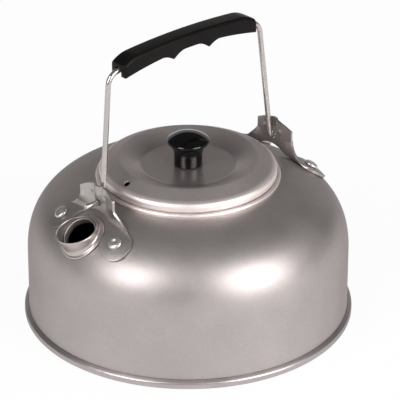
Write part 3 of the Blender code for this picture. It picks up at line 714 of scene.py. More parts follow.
class Effects:
    """Node groups shared by the finishes, each made once."""

    pit_detail: ClassVar[float] = 2.0
    pit_share: ClassVar[float] = 0.7
    speck_share: ClassVar[float] = 0.3
    speck_fineness: ClassVar[float] = 0.55
    mottle_noise: ClassVar[Noise] = (55.0, 5.0, 0.62)
    ring_slope: ClassVar[float] = 0.8
    ring_drift: ClassVar[float] = 0.004
    ring_noise: ClassVar[Noise] = (1900.0, 4.0, 0.6)
    scuff_runs: ClassVar[tuple[Point, ...]] = ((0.5, 9.0), (2.1, 14.0), (1.2, 11.0))
    scuff_turn: ClassVar[tuple[float, float, float]] = (1.0, 0.7, 1.9)
    scuff_noise: ClassVar[Noise] = (120.0, 3.0, 0.55)
    scuff_edge: ClassVar[Point] = (0.66, 0.74)

    @classmethod
    @lru_cache(maxsize=None)
    def grain(cls) -> bpy.types.NodeTree:
        """Blasted grain: fine pits over a soft mottle.

        Returns:
            The group, which gives the pits' height and the mottle.
        """
        inputs = {"Place": "NodeSocketVector", "Fineness": "NodeSocketFloat"}
        row, source, result = effect_group("blasted grain", inputs, ("Height", "Mottle"))
        place, fineness = source.outputs["Place"], source.outputs["Fineness"]
        pits = row.noise(place, fineness, cls.pit_detail)
        scale = row.math("MULTIPLY", fineness, cls.speck_fineness)
        specks = row.add("ShaderNodeTexVoronoi", {"feature": "F1"}, {"Vector": place, "Scale": scale})
        pits = row.math("MULTIPLY", pits, cls.pit_share)
        specks = row.math("MULTIPLY", specks.outputs["Distance"], cls.speck_share)
        height = row.math("ADD", pits, specks)
        row.feed(result, {"Height": height, "Mottle": row.noise(place, *cls.mottle_noise)})
        return row.tree

    @classmethod
    @lru_cache(maxsize=None)
    def turning(cls) -> bpy.types.NodeTree:
        """Turning marks: fine rings round the Z axis, broken along their length.

        Returns:
            The group, which gives the marks' height.
        """
        row, source, result = effect_group("turning marks", {"Place": "NodeSocketVector"}, ("Marks",))
        place = source.outputs["Place"]
        height = row.math("MULTIPLY", row.axis(place, "Z"), cls.ring_slope)
        drift = row.math("MULTIPLY", row.axis(place, "X"), cls.ring_drift)
        slope = row.math("ADD", row.radius(place), height)
        line = row.add("ShaderNodeCombineXYZ", None, {0: slope, 2: drift})
        row.feed(result, {"Marks": row.noise(line.outputs[0], *cls.ring_noise)})
        return row.tree

    @classmethod
    @lru_cache(maxsize=None)
    def scratches(cls) -> bpy.types.NodeTree:
        """Fine scuffs: stretched noise, thresholded to thin lines.

        Returns:
            The group, which gives the share of scuffed surface.
        """
        row, source, result = effect_group("fine scuffs", {"Place": "NodeSocketVector"}, ("Scuffs",))
        total = None
        for turn, stretch in cls.scuff_runs:
            rotation = tuple(turn * part for part in cls.scuff_turn)
            scale = (1.0, stretch, stretch)
            inputs = {"Vector": source.outputs["Place"], "Rotation": rotation, "Scale": scale}
            mapped = row.add("ShaderNodeMapping", {"vector_type": "POINT"}, inputs).outputs[0]
            line = row.spread(row.noise(mapped, *cls.scuff_noise), *cls.scuff_edge, 0.0, 1.0)
            total = line if total is None else row.math("MAXIMUM", total, line)
        row.feed(result, {"Scuffs": total})
        return row.tree


class Canvas(NamedTuple):
    """A material in the making: its nodes, its shader and the effects on it."""

    material: bpy.types.Material
    row: NodeRow
    shader: bpy.types.Node
    place: bpy.types.NodeSocket
    height: bpy.types.NodeSocket
    mottle: bpy.types.NodeSocket
    scuffs: bpy.types.NodeSocket


@dataclass(frozen=True)
class Finish:
    """What every finish has: its slot in the record, its colour, its gloss and its grain."""

    name: str
    slot: Slot
    colour: Colour
    roughness: float
    rougher: float
    grain: float
    fineness: float

    mottle_range: ClassVar[Point] = (0.3, 0.7)

    def start(self) -> Canvas:
        """The material with the effects that every finish shows.

        Returns:
            The material in the making.
        """
        material = bpy.data.materials.new(self.name)
        material.use_nodes = True
        row = NodeRow(material.node_tree)
        place = row.add("ShaderNodeTexCoord").outputs["Object"]
        inputs = {"Place": place, "Fineness": self.fineness}
        grain = row.add("ShaderNodeGroup", {"node_tree": Effects.grain()}, inputs).outputs
        scuffs = row.add("ShaderNodeGroup", {"node_tree": Effects.scratches()}, {"Place": place}).outputs
        shader = material.node_tree.nodes["Principled BSDF"]
        return Canvas(material, row, shader, place, grain["Height"], grain["Mottle"], scuffs["Scuffs"])

    def patches(self, canvas: Canvas, low: float, high: float) -> bpy.types.NodeSocket:
        """A value that changes softly over the surface from low to high."""
        return canvas.row.spread(canvas.mottle, *self.mottle_range, low, high)


@dataclass(frozen=True)
class MetalFinish(Finish):
    """A metal: its colour, gloss, blasted grain, turning marks, wear, painted highlight bands and painted
    shade at its grazing edges.
    """

    turned: float
    scuffed: float
    mottled: float = 0.06
    foot_wear: float = 0.0
    # Painted highlight: the colour is brightened in a band above a height or beyond a radius
    painted_highlight: PaintedHighlight = PaintedHighlight.NOWHERE
    highlight_start: float = 0.0
    highlight_end: float = 0.0
    highlight_gain: float = 1.6
    rough_ring: float = 0.0
    ring_start: float = 0.0
    ring_end: float = 0.0
    # Painted shade: an edge tint that darkens the metal's reflection at grazing angles; 1.0 adds none
    grazing_shade: Colour = (0.45, 0.43, 0.42)
    metallic: float = 0.88

    speckle_range: ClassVar[Point] = (0.25, 0.65)
    foot_range: ClassVar[Point] = (0.35, 0.62)
    foot_height: ClassVar[float] = 0.0016
    wear_gain: ClassVar[float] = 1.22
    wear_polish: ClassVar[float] = 0.08
    grain_depth: ClassVar[float] = 0.00006
    mark_depth: ClassVar[float] = 0.00004

    def brighter(self, gain: float) -> tuple[float, ...]:
        """The colour times a gain, with its alpha."""
        return (*(min(1.0, part * gain) for part in self.colour), 1.0)

    def painted_highlight_share(self, canvas: Canvas) -> bpy.types.NodeSocket:
        """How far the painted highlight brightens the surface, from 0 to 1.

        Args:
            canvas: The material in the making.

        Returns:
            The share.
        """
        by_height = self.painted_highlight is PaintedHighlight.FROM_HEIGHT
        measure = canvas.row.axis(canvas.place, "Z") if by_height else canvas.row.radius(canvas.place)
        return canvas.row.spread(measure, self.highlight_start, self.highlight_end, 0.0, 1.0)

    def wear(self, canvas: Canvas) -> bpy.types.NodeSocket:
        """How far the surface is worn by scuffs and at its foot, from 0 to 1.

        Args:
            canvas: The material in the making.

        Returns:
            The share.
        """
        row = canvas.row
        wear = row.math("MULTIPLY", canvas.scuffs, self.scuffed)
        if self.foot_wear > 0.0:
            foot = row.spread(row.axis(canvas.place, "Z"), 0.0, self.foot_height, 1.0, 0.0)
            patchy = row.math("MULTIPLY", foot, row.spread(canvas.mottle, *self.foot_range, 0.0, 1.0))
            wear = row.math("MAXIMUM", wear, row.math("MULTIPLY", patchy, self.foot_wear))
        return wear

    @lru_cache(maxsize=None)
    def material(self) -> bpy.types.Material:
        """The metal's material, made once.

        Returns:
            The material.
        """
        canvas = self.start()
        row = canvas.row
        low, high = 1.0 - self.mottled, 1.0 + self.mottled
        speckle = row.spread(canvas.height, *self.speckle_range, low, high)
        shine = row.math("MULTIPLY", self.patches(canvas, low, high), speckle)
        wear = self.wear(canvas)
        base = row.mix(wear, self.brighter(1.0), self.brighter(self.wear_gain))
        # Painted highlight: a band of the colour brightened by its gain
        if self.painted_highlight is not PaintedHighlight.NOWHERE:
            base = row.mix(self.painted_highlight_share(canvas), base, self.brighter(self.highlight_gain))
        grey = row.add("ShaderNodeCombineColor", None, {0: shine, 1: shine, 2: shine}).outputs[0]
        rough = self.patches(canvas, self.roughness, self.rougher)
        rough = row.math("SUBTRACT", rough, row.math("MULTIPLY", wear, self.wear_polish))
        if self.rough_ring > 0.0:
            radius = row.radius(canvas.place)
            ring = row.spread(radius, self.ring_start, self.ring_end, 0.0, self.rough_ring)
            rough = row.math("ADD", rough, ring)
        marks = row.add("ShaderNodeGroup", {"node_tree": Effects.turning()}, {"Place": canvas.place}).outputs
        pitted = row.bump(self.grain, self.grain_depth, canvas.height)
        inputs = {
            "Base Color": row.mix(1.0, base, grey, "MULTIPLY"),
            "Roughness": rough,
            "Normal": row.bump(self.turned, self.mark_depth, marks["Marks"], pitted),
            "Metallic": self.metallic,
            # Painted shade at the grazing edges, through the edge tint
            "Specular Tint": (*self.grazing_shade, 1.0),
        }
        row.feed(canvas.shader, inputs)
        return canvas.material


@dataclass(frozen=True)
class PlasticFinish(Finish):
    """A moulded plastic: its colour, gloss and moulded texture."""

    specular: float = 0.5

    lighter_gain: ClassVar[float] = 1.35
    lighter_lift: ClassVar[float] = 0.001
    scuff_gain: ClassVar[float] = 0.15
    grain_depth: ClassVar[float] = 0.00005

    @lru_cache(maxsize=None)
    def material(self) -> bpy.types.Material:
        """The plastic's material, made once.

        Returns:
            The material.
        """
        canvas = self.start()
        row = canvas.row
        lighter = tuple(part * self.lighter_gain + self.lighter_lift for part in self.colour)
        scuffs = row.math("MULTIPLY", canvas.scuffs, self.scuff_gain * self.grain)
        inputs = {
            "Base Color": row.mix(self.patches(canvas, 0.0, 1.0), (*self.colour, 1.0), (*lighter, 1.0)),
            "Roughness": row.math("ADD", self.patches(canvas, self.roughness, self.rougher), scuffs),
            "Normal": row.bump(self.grain, self.grain_depth, canvas.height),
            "Specular IOR Level": self.specular,
        }
        row.feed(canvas.shader, inputs)
        return canvas.material


SATIN_GREY: Colour = (0.462, 0.418, 0.410)
# The body's neck bead gets a painted highlight above its height
BODY_ALUMINIUM = MetalFinish(
    "satin body aluminium", Slot.SATIN_ALUMINIUM, SATIN_GREY, roughness=0.43, rougher=0.48, grain=0.60,
    fineness=1700.0, turned=0.08, scuffed=0.0, mottled=0.05, painted_highlight=PaintedHighlight.FROM_HEIGHT, highlight_start=0.0685,
    highlight_end=0.0690, highlight_gain=1.95,
)
BASE_ALUMINIUM = MetalFinish(
    "folded base aluminium", Slot.SATIN_ALUMINIUM, SATIN_GREY, roughness=0.34, rougher=0.40, grain=0.25,
    fineness=2600.0, turned=0.15, scuffed=0.2, foot_wear=0.9,
)
SPOUT_ALUMINIUM = MetalFinish(
    "drawn spout aluminium", Slot.SATIN_ALUMINIUM, (0.55, 0.495, 0.48), roughness=0.30, rougher=0.36,
    grain=0.30, fineness=2600.0, turned=0.0, scuffed=0.15, mottled=0.07,
)
# The lid's rounded rim gets a painted highlight beyond its radius
LID_ALUMINIUM = MetalFinish(
    "satin lid aluminium", Slot.SATIN_ALUMINIUM, (0.545, 0.488, 0.474), roughness=0.27, rougher=0.32,
    grain=0.35, fineness=1900.0, turned=0.10, scuffed=0.0, mottled=0.05, painted_highlight=PaintedHighlight.FROM_RADIUS,
    highlight_start=0.0385, highlight_end=0.0400, highlight_gain=1.72, rough_ring=0.20, ring_start=0.0240, ring_end=0.0320,
)
EAR_STEEL = MetalFinish(
    "stamped bracket steel", Slot.BRIGHT_STEEL, (0.45, 0.415, 0.40), roughness=0.34, rougher=0.44, grain=0.30,
    fineness=1100.0, turned=0.0, scuffed=0.35, mottled=0.12, grazing_shade=(0.5, 0.48, 0.46),
)
WIRE_STEEL = MetalFinish(
    "drawn wire steel", Slot.BRIGHT_STEEL, (0.52, 0.49, 0.465), roughness=0.17, rougher=0.23, grain=0.06,
    fineness=1800.0, turned=0.0, scuffed=0.30, mottled=0.07, grazing_shade=(0.7, 0.7, 0.7),
)
SCREW_STEEL = MetalFinish(
    "plated screw steel", Slot.BRIGHT_STEEL, (0.66, 0.66, 0.67), roughness=0.22, rougher=0.30, grain=0.05,
    fineness=1500.0, turned=0.15, scuffed=0.20, mottled=0.05, grazing_shade=(1.0, 1.0, 1.0),
)
RIVET_ALLOY = MetalFinish(
    "headed rivet alloy", Slot.RIVET_ALLOY, (0.62, 0.585, 0.57), roughness=0.32, rougher=0.40, grain=0.10,
    fineness=1600.0, turned=0.0, scuffed=0.30, mottled=0.08, grazing_shade=(0.8, 0.8, 0.8),
)
INSERT_BRASS = MetalFinish(
    "turned brass", Slot.BRASS, (0.78, 0.60, 0.30), roughness=0.28, rougher=0.36, grain=0.05,
    fineness=1500.0, turned=0.30, scuffed=0.10, mottled=0.05, grazing_shade=(1.0, 1.0, 1.0),
)
KNOB_BLACK = PlasticFinish(
    "gloss black phenolic", Slot.GLOSS_BLACK, (0.0020, 0.0018, 0.0018), roughness=0.06, rougher=0.09,
    grain=0.02, fineness=900.0, specular=0.42,
)
GRIP_BLACK = PlasticFinish(
    "satin black nylon", Slot.SATIN_BLACK, (0.0050, 0.0038, 0.0036), roughness=0.34, rougher=0.44, grain=0.30,
    fineness=1900.0, specular=0.10,
)


# The kettle's pieces


class SubAssembly:
    """What every group of pieces does with a finished piece."""

    def hand_over(self, piece: bpy.types.Object, finish: Finish, carrier: Carrier, node: str) -> None:
        """Dress a piece, put it on its body and let it stand for its CAD node.

        Args:
            piece: The piece.
            finish: Its finish.
            carrier: The body that it rides on.
            node: The CAD node that it replaces.
        """
        piece.data.materials.clear()
        piece.data.materials.append(finish.material())
        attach(piece, carrier.value)
        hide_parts(node)
        LOG.info("%s: %d faces, stands for %s", piece.name, len(piece.data.polygons), node)

    def dress_node(self, node: str, finish: Finish) -> None:
        """Give a CAD node that stays its finish.

        Args:
            node: The node.
            finish: Its finish.
        """
        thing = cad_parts[node]
        for slot in thing.material_slots:
            slot.material = finish.material()
        LOG.info("%s: CAD node with %s", node, finish.name)


@dataclass
class Body(SubAssembly):
    """The spun body in its folded base pan."""

    steps: int = 160
    sheet: float = BODY_SHEET
    gap: float = GAP
    rim_radius: float = 0.0775
    rim_height: float = 0.0045
    rim_round: float = 0.0012
    rim_roll: float = 0.0014
    rim_drop: float = 0.0015
    lip_gap: float = 0.00008
    pan_sheet: float = 0.0006
    hem_round: float = 0.0008
    foot_flare: float = 0.0003
    foot_flare_height: float = 0.0030
    groove_depth: float = 0.0011
    groove_height: float = 0.0004
    bead_radius: float = 0.0011
    bead_inset: float = 0.0015
    bead_rise: float = 0.0017
    shoulder_steps: int = 44
    bead_start: float = 225.0
    bead_end: float = -45.0
    bead_steps: int = 20
    hem_steps: int = 4
    rim_steps: int = 8
    bore_depth: float = 0.0380
    hole_depth: float = 0.0032
    hole_steps: int = 32
    smooth_angle: float = math.radians(38.0)

    def section(self) -> list[Point]:
        """Closed section: bead, neck, shoulder, wall and hem, then back up the inside.

        Returns:
            The section.
        """
        neck = SHOULDER.neck_radius
        centre = (neck - self.bead_inset, SHOULDER.neck_height + self.bead_rise)
        bead = arc(*centre, self.bead_radius, self.bead_start, self.bead_end, self.bead_steps)
        groove = [(neck - self.groove_depth, SHOULDER.neck_height + self.groove_height)]
        shares = [step / self.shoulder_steps for step in range(self.shoulder_steps + 1)]
        outside = [tuple(SHOULDER.face(share)[0]) for share in reversed(shares)]
        hem_top = self.rim_height - self.pan_sheet - self.gap
        hem_outside = self.rim_radius - self.pan_sheet - self.gap
        foot = SHOULDER.wall_radius + self.foot_flare
        bottom = self.pan_sheet + self.gap
        wall = rounded(
            [
                (SHOULDER.wall_radius, hem_top + self.foot_flare_height, 0.0),
                (foot, hem_top + self.pan_sheet, 0.0),
                (foot, hem_top, 0.0),
                (hem_outside, hem_top - self.rim_drop, self.hem_round),
                (hem_outside, bottom, self.hem_round),
                (SHOULDER.wall_radius - self.sheet, bottom, 0.0),
            ],
            self.hem_steps,
        )
        inside = [tuple(SHOULDER.face(share, -self.sheet)[0]) for share in shares[::2]]
        throat = [(neck - self.groove_depth - self.sheet, SHOULDER.neck_height - self.sheet / 2.0)]
        line = bead + groove + outside + wall + inside + throat
        return line + line[:1]

    def pan_section(self) -> list[Point]:
        """Section of the base pan: a flat disc whose rim wraps the hem.

        Returns:
            The section.
        """
        inside = self.rim_radius - self.pan_sheet
        lip = SHOULDER.wall_radius + self.foot_flare + self.lip_gap
        under = self.rim_height - self.pan_sheet
        return rounded(
            [
                (0.0, self.pan_sheet, 0.0),
                (inside, self.pan_sheet, self.hem_round - self.gap),
                (inside, under - self.rim_drop, self.hem_round - self.gap),
                (lip, under, 0.0),
                (lip, self.rim_height, self.lip_gap),
                (self.rim_radius, self.rim_height - self.rim_drop, self.rim_roll),
                (self.rim_radius, 0.0, self.rim_round),
                (0.0, 0.0, 0.0),
            ],
            self.rim_steps,
        )

    def build(self, spout: "Spout", brackets: "Brackets") -> None:
        """Model and dress the body and its base.

        Args:
            spout: The spout, which gives the bore and its collar.
            brackets: The brackets, which give the rivet holes.
        """
        shell = Bench.turn("kettle_body", self.section(), self.steps)
        bore = Bench.rod("bore", spout.bore(), self.bore_depth, spout.seat(), spout.steps)
        Bench.cut(shell, bore)
        for azimuth in brackets.rivet_places().values():
            place = SHOULDER.seat(brackets.rivet_distance, azimuth)
            Bench.cut(shell, Bench.rod("hole", brackets.rivet_hole, self.hole_depth, place, self.hole_steps))
        collar = spout.tube("collar", spout.collar_section(self.sheet), spout.collar_height, 0.0, 0.0)
        Bench.take(shell)
        collar.select_set(True)
        bpy.ops.object.join()
        Bench.shade(shell, self.smooth_angle)
        self.hand_over(shell, BODY_ALUMINIUM, Carrier.KETTLE, "body_shell")
        pan = Bench.turn("base_rim", self.pan_section(), self.steps)
        Bench.shade(pan, self.smooth_angle)
        self.hand_over(pan, BASE_ALUMINIUM, Carrier.KETTLE, "base_pan")


@dataclass
class Spout(SubAssembly):
    """The short pouring spout over its collar."""

    steps: int = 96
    reach: float = 0.0635
    radius: float = 0.0095
    wall: float = 0.0008
    length: float = 0.0050
    mouth_tilt: float = math.radians(15.0)
    flare: float = 0.0012
    flange_radius: float = 0.0116
    flange_sheet: float = 0.0007
    collar_sheet: float = 0.0007
    collar_height: float = 0.0018
    gap: float = GAP
    lip_steps: int = 8
    rim_steps: int = 4
    smooth_angle: float = math.radians(38.0)

    def seat(self) -> Matrix:
        """Where the spout stands on the shoulder."""
        return SHOULDER.seat(self.reach, math.pi)

    def bore(self) -> float:
        """Radius of the way through the collar."""
        return self.radius - self.wall - self.gap - self.collar_sheet

    def collar_section(self, body_sheet: float) -> list[Point]:
        """Closed section of the collar, which is rolled at its top.

        Args:
            body_sheet: Thickness of the body, in which it is rooted.

        Returns:
            The section.
        """
        half = self.collar_sheet / 2.0
        outside = self.bore() + self.collar_sheet
        lip = arc(self.bore() + half, self.collar_height - half, half, 180.0, 0.0, self.lip_steps)
        line = [(self.bore(), -body_sheet), *lip, (outside, -body_sheet / 2.0)]
        return line + line[:1]

    def section(self) -> list[Point]:
        """Closed section of the tube with its flange and its soft mouth edge.

        Returns:
            The section.
        """
        inside = self.radius - self.wall
        edge = self.wall / 2.0
        top = self.gap + self.flange_sheet
        lip = arc(inside + edge, self.length - edge, edge, 180.0, 0.0, self.lip_steps)
        foot = arc(self.radius + self.flare, top + self.flare, self.flare, 180.0, 270.0, self.lip_steps)
        rim = arc(self.flange_radius - edge, top - edge, edge, 90.0, 0.0, self.rim_steps)
        line = [(inside, top), *lip, *foot, *rim, (self.flange_radius, self.gap), (inside, self.gap)]
        return line + line[:1]

    def tube(
        self, name: str, section: Sequence[Point], length: float, slope: float, seat_height: float
    ) -> bpy.types.Object:
        """A turned tube whose foot follows the shoulder and whose mouth is an oblique plane.

        Args:
            name: Its name.
            section: Its closed section.
            length: Height where it follows the mouth alone.
            slope: Slope of the mouth.
            seat_height: Height up to which it follows the shoulder alone.

        Returns:
            The tube, in its place.
        """
        seat = self.seat()
        tube = Bench.turn(name, section, self.steps)
        for vertex in tube.data.vertices:
            x, y, height = vertex.co
            share = max(0.0, (height - seat_height) / (length - seat_height))
            base = SHOULDER.saddle(seat, x, y, self.reach / 2.0)
            vertex.co.z = height + base * (1.0 - share) + x * slope * share
        tube.data.transform(seat)
        return tube

    def build(self) -> None:
        """Model and dress the spout."""
        slope = math.tan(SHOULDER.at(self.reach)[1] - self.mouth_tilt)
        tube = self.tube("spout_tube", self.section(), self.length, slope, self.gap + self.flange_sheet)
        Bench.shade(tube, self.smooth_angle)
        self.hand_over(tube, SPOUT_ALUMINIUM, Carrier.KETTLE, "spout")


@dataclass
class Brackets(SubAssembly):
    """The two stamped brackets and their four rivets."""

    gap: float = GAP
    body_sheet: float = BODY_SHEET
    sheet: float = 0.0012
    inside: float = 0.0521
    pivot_height: float = PIVOT_HEIGHT
    half_width: float = 0.0118
    top_rise: float = 0.0088
    corner_drop: float = 0.0029
    corner_round: float = 0.0009
    arch_drop: float = 0.0042
    arch_fullness: float = 0.62
    bend_round: float = 0.0015
    waist_rise: float = 0.0010
    waist_handle: float = 0.0015
    flare_handle: float = 0.0030
    flare_angle: float = 75.0
    foot_radius: float = 0.0078
    foot_tip_angle: float = 12.0
    wing_fold: float = 0.0013
    wing_start: float = 0.0056
    groove_half_width: float = 0.0024
    groove_depth: float = 0.0012
    dimple_offset: float = 0.0048
    dimple_rise: float = 0.0038
    dimple_radius: float = 0.0013
    dimple_depth: float = 0.0005
    pivot_hole: float = 0.00175
    edge_round: float = 0.00018
    edge_segments: int = 2
    rows: int = 34
    sort_digits: int = 5
    middle_columns: int = 18
    outer_columns: int = 8
    corner_columns: int = 16
    side_columns: int = 16
    foot_columns: int = 24
    walk_steps: int = 12
    corner_steps: int = 6
    side_steps: int = 40
    lower_steps: int = 120
    hole_steps: int = 32
    hole_depth: float = 0.0096
    sharp_angle: float = math.radians(50.0)
    smooth_angle: float = math.radians(42.0)
    rivet_steps: int = 48
    rivet_smooth_angle: float = math.radians(45.0)
    rivet_distance: float = 0.0618
    rivet_side: float = 0.0191
    rivet_radius: float = 0.0020
    rivet_hole: float = 0.0023
    head_radius: float = 0.0033
    head_height: float = 0.0014
    head_flat: float = 0.72
    head_full: float = 0.75
    head_low: float = 0.15
    head_steps: int = 12
    dish_radius: float = 0.0014
    dish_depth: float = 0.0003
    dish_shares: tuple[float, ...] = (0.0, 0.3, 0.6, 0.85)
    tail_radius: float = 0.0032
    tail_height: float = 0.0010
    tail_clearance: float = 0.0005
    tail_chamfer: float = 0.0010 / 3.0

    def rivet_angle(self) -> float:
        """Angle of the rivets from the plane through the spout."""
        return math.asin(self.rivet_side / self.rivet_distance)

    def bend(self, y: float) -> tuple[float, float]:
        """Height and slope of the shoulder where the plate meets it, at a distance from the middle.

        Args:
            y: Distance from the middle of the bracket.

        Returns:
            The height and the slope.
        """
        radius = math.hypot(self.inside, y)
        height, tilt = SHOULDER.at(radius, self.gap)
        return height, math.atan(math.tan(tilt) * self.inside / radius)

    def foot_walk(self, y: float, length: float) -> float:
        """Distance from the bail's middle plane that a length of foot reaches down the shoulder.

        Args:
            y: Distance from the middle of the bracket.
            length: Length of foot.

        Returns:
            The distance.
        """
        x = self.inside
        for _ in range(self.walk_steps):
            radius = math.hypot(x, y)
            slope = math.atan(math.tan(SHOULDER.at(radius, self.gap)[1]) * x / radius)
            x += length / self.walk_steps * math.cos(slope)
        return x

    def point(self, y: float, along: float) -> Vector:
        """Inner face of the bent sheet.

        Args:
            y: Distance from the middle of the bracket.
            along: Distance up the plate, or out on the foot where it is negative.

        Returns:
            The point.
        """
        height, slope = self.bend(y)
        turn = math.pi / 2.0 - slope
        radius = self.bend_round + self.sheet
        tangent = radius * math.tan(turn / 2.0)
        if along >= tangent:
            return Vector((self.inside, y, height + along))
        if along <= -tangent:
            x = self.foot_walk(y, -along)
            return Vector((x, y, SHOULDER.at(math.hypot(x, y), self.gap)[0]))
        angle = turn * (tangent - along) / (2.0 * tangent)
        out = radius * (1.0 - math.cos(angle))
        return Vector((self.inside + out, y, height + tangent - radius * math.sin(angle)))

    def press(self, y: float, rise: float) -> float:
        """How far the pressing pushes the plate outward.

        Args:
            y: Distance from the middle of the bracket.
            rise: Height above the pivot.

        Returns:
            The distance.
        """
        groove = max(0.0, 1.0 - (y / self.groove_half_width) ** 2)
        groove_fade = min(1.0, max(0.0, rise / (2.0 * self.groove_half_width)))
        wing = min(1.0, max(0.0, (abs(y) - self.wing_start) / (self.half_width - self.wing_start)))
        wing_fade = min(1.0, max(0.0, 1.0 + rise / self.arch_drop))
        dimple = math.hypot(abs(y) - self.dimple_offset, rise - self.dimple_rise) / self.dimple_radius
        pressed = self.groove_depth * groove * groove_fade + self.wing_fold * wing * wing_fade
        return pressed - self.dimple_depth * max(0.0, 1.0 - dimple**2)

    def foot_centre(self) -> Point:
        """The rivet's place on the flat bracket, across and along it.

        Returns:
            The place.
        """
        rivet = SHOULDER.seat(self.rivet_distance, self.rivet_angle()).translation
        low, high = 0.0, 2.0 * (rivet.x - self.inside)
        for _ in range(SHOULDER.searches):
            middle = (low + high) / 2.0
            if self.foot_walk(rivet.y, middle) < rivet.x:
                low = middle
            else:
                high = middle
        return rivet.y, -low

    def upper_edge(self, pivot: float) -> list[Point]:
        """Top, side and outer foot edge of half the flat bracket, from the middle to the foot's tip.

        Args:
            pivot: Height of the pivot above the bend.

        Returns:
            The edge's points.
        """
        side_start = self.half_width - self.corner_round
        straight = self.dimple_offset + self.dimple_radius
        crown = pivot + self.top_rise
        fall = self.corner_drop / side_start**2
        places = [straight * step / self.middle_columns for step in range(self.middle_columns + 1)]
        outer = [step / self.outer_columns for step in range(1, self.outer_columns + 1)]
        places += [straight + (side_start - straight) * share for share in outer]
        top = [(y, crown - fall * y**2) for y in places]
        shoulder = crown - self.corner_drop
        corner = rounded(
            [
                (side_start, shoulder, 0.0),
                (self.half_width, shoulder - self.corner_round / 4.0, self.corner_round / 2.0),
                (self.half_width, pivot + self.waist_rise, 0.0),
            ],
            self.corner_steps,
        )
        foot_y, foot_along = self.foot_centre()
        turn = (self.flare_angle, self.foot_tip_angle, self.side_steps)
        circle = arc(foot_y, foot_along, self.foot_radius, *turn)
        start, end = Vector((self.half_width, pivot + self.waist_rise)), Vector(circle[0])
        lean = math.radians(self.flare_angle)
        ahead = Vector((math.sin(lean), -math.cos(lean)))
        flare = (start, start - Vector((0.0, self.waist_handle)), end - ahead * self.flare_handle, end)
        side = spaced(swept(flare, self.side_steps), self.side_columns)
        return top + spaced(corner, self.corner_columns) + side + spaced(circle, self.foot_columns)

    def lower_edge(self, pivot: float) -> list[Point]:
        """Arch over the spout and inner foot edge of half the flat bracket, finely stepped.

        Args:
            pivot: Height of the pivot above the bend.

        Returns:
            The edge's points.
        """
        foot_y, foot_along = self.foot_centre()
        start, end = (0.0, pivot - self.arch_drop), (foot_y - self.foot_radius, foot_along)
        high = end[1] + (start[1] - end[1]) * self.arch_fullness
        arch = (start, (end[0] * self.arch_fullness, start[1]), (end[0], high), end)
        turn = (180.0, 360.0 - self.foot_tip_angle, self.lower_steps)
        return swept(arch, self.lower_steps)[:-1] + arc(foot_y, foot_along, self.foot_radius, *turn)

    def matched(self, lower: Sequence[Point]) -> list[Point]:
        """Points of the lower edge under those of the upper one.

        Args:
            lower: The lower edge, finely stepped.

        Returns:
            As many points as the upper edge has: straight below in the middle, then evenly spaced.
        """
        straight = self.dimple_offset + self.dimple_radius
        points = [lower[0]]
        for step in range(1, self.middle_columns + 1):
            y = straight * step / self.middle_columns
            index = next(i for i, point in enumerate(lower) if point[0] >= y)
            share = (y - lower[index - 1][0]) / (lower[index][0] - lower[index - 1][0])
            points.append(part_way(lower[index - 1], lower[index], share))
        columns = self.outer_columns + self.corner_columns + self.side_columns + self.foot_columns
        return points + spaced([points[-1], *lower[index:]], columns)

    def ear(self) -> bpy.types.Object:
        """One bracket, its plate facing +X: a bent grid, mirrored, made thick and pierced.

        Returns:
            The bracket.
        """
        pivot = self.pivot_height - self.bend(0.0)[0]
        upper = self.upper_edge(pivot)
        lower = self.matched(self.lower_edge(pivot))
        bpy.ops.object.select_all(action="DESELECT")
        bpy.ops.mesh.primitive_grid_add(
            x_subdivisions=len(upper) - 1, y_subdivisions=self.rows, size=2.0, location=(0.0, 0.0, 0.0)
        )
        ear = Bench.name(bpy.context.active_object, "ear_pattern")
        digits = self.sort_digits
        order = sorted(
            ear.data.vertices, key=lambda vertex: (round(vertex.co.x, digits), -round(vertex.co.y, digits))
        )
        for column, (high, low) in enumerate(zip(upper, lower)):
            for row in range(self.rows + 1):
                y, along = Vector(high).lerp(Vector(low), row / self.rows)
                place = self.point(y, along)
                place.x += self.press(y, self.bend(y)[0] + along - self.pivot_height)
                order[column * (self.rows + 1) + row].co = place
        mirror = {"use_axis": (False, True, False), "merge_threshold": Bench.merge_distance}
        Bench.modify(ear, "MIRROR", mirror)
        Bench.modify(ear, "SOLIDIFY", {"thickness": self.sheet, "offset": 1.0})
        bpy.ops.object.mode_set(mode="EDIT")
        Bench.close(ear)
        angle = self.rivet_angle()
        pivot_place = Matrix.Translation((self.inside, 0.0, self.pivot_height))
        holes = [(self.pivot_hole, pivot_place @ Matrix.Rotation(math.pi / 2.0, 4, "Y"))]
        holes += [(self.rivet_hole, SHOULDER.seat(self.rivet_distance, side)) for side in (-angle, angle)]
        for radius, place in holes:
            Bench.cut(ear, Bench.rod("hole", radius, self.hole_depth, place, self.hole_steps))
        Bench.bevel(ear, self.edge_round, self.edge_segments, self.sharp_angle)
        Bench.shade(ear, self.smooth_angle)
        return ear

    def rivet_places(self) -> dict[str, float]:
        """Azimuth of each rivet, two to a bracket.

        Returns:
            The azimuths by the rivets' nodes.
        """
        angle = self.rivet_angle()
        return {
            "front_rivet_left": math.pi - angle,
            "front_rivet_right": math.pi + angle,
            "rear_rivet_left": angle,
            "rear_rivet_right": -angle,
        }

    def rivet_section(self) -> list[Point]:
        """Section of a rivet: a domed head with a shallow dish, its shank and its tail.

        Returns:
            The section.
        """
        under = 2.0 * self.gap + self.sheet
        top = under + self.head_height
        inner = -self.body_sheet - self.tail_clearance
        end = inner - self.tail_height
        dome = (
            (self.dish_radius, top),
            (self.head_radius * self.head_flat, top),
            (self.head_radius, under + self.head_height * self.head_full),
            (self.head_radius, under + self.head_height * self.head_low),
        )
        dish = [(share, self.dish_depth * (1.0 - share**2)) for share in self.dish_shares]
        return [
            *((self.dish_radius * share, top - depth) for share, depth in dish),
            *swept(dome, self.head_steps),
            (self.head_radius, under),
            (self.rivet_radius, under),
            (self.rivet_radius, inner),
            (self.tail_radius, inner),
            (self.tail_radius, end + self.tail_chamfer),
            (self.tail_radius - self.tail_chamfer, end),
            (0.0, end),
        ]

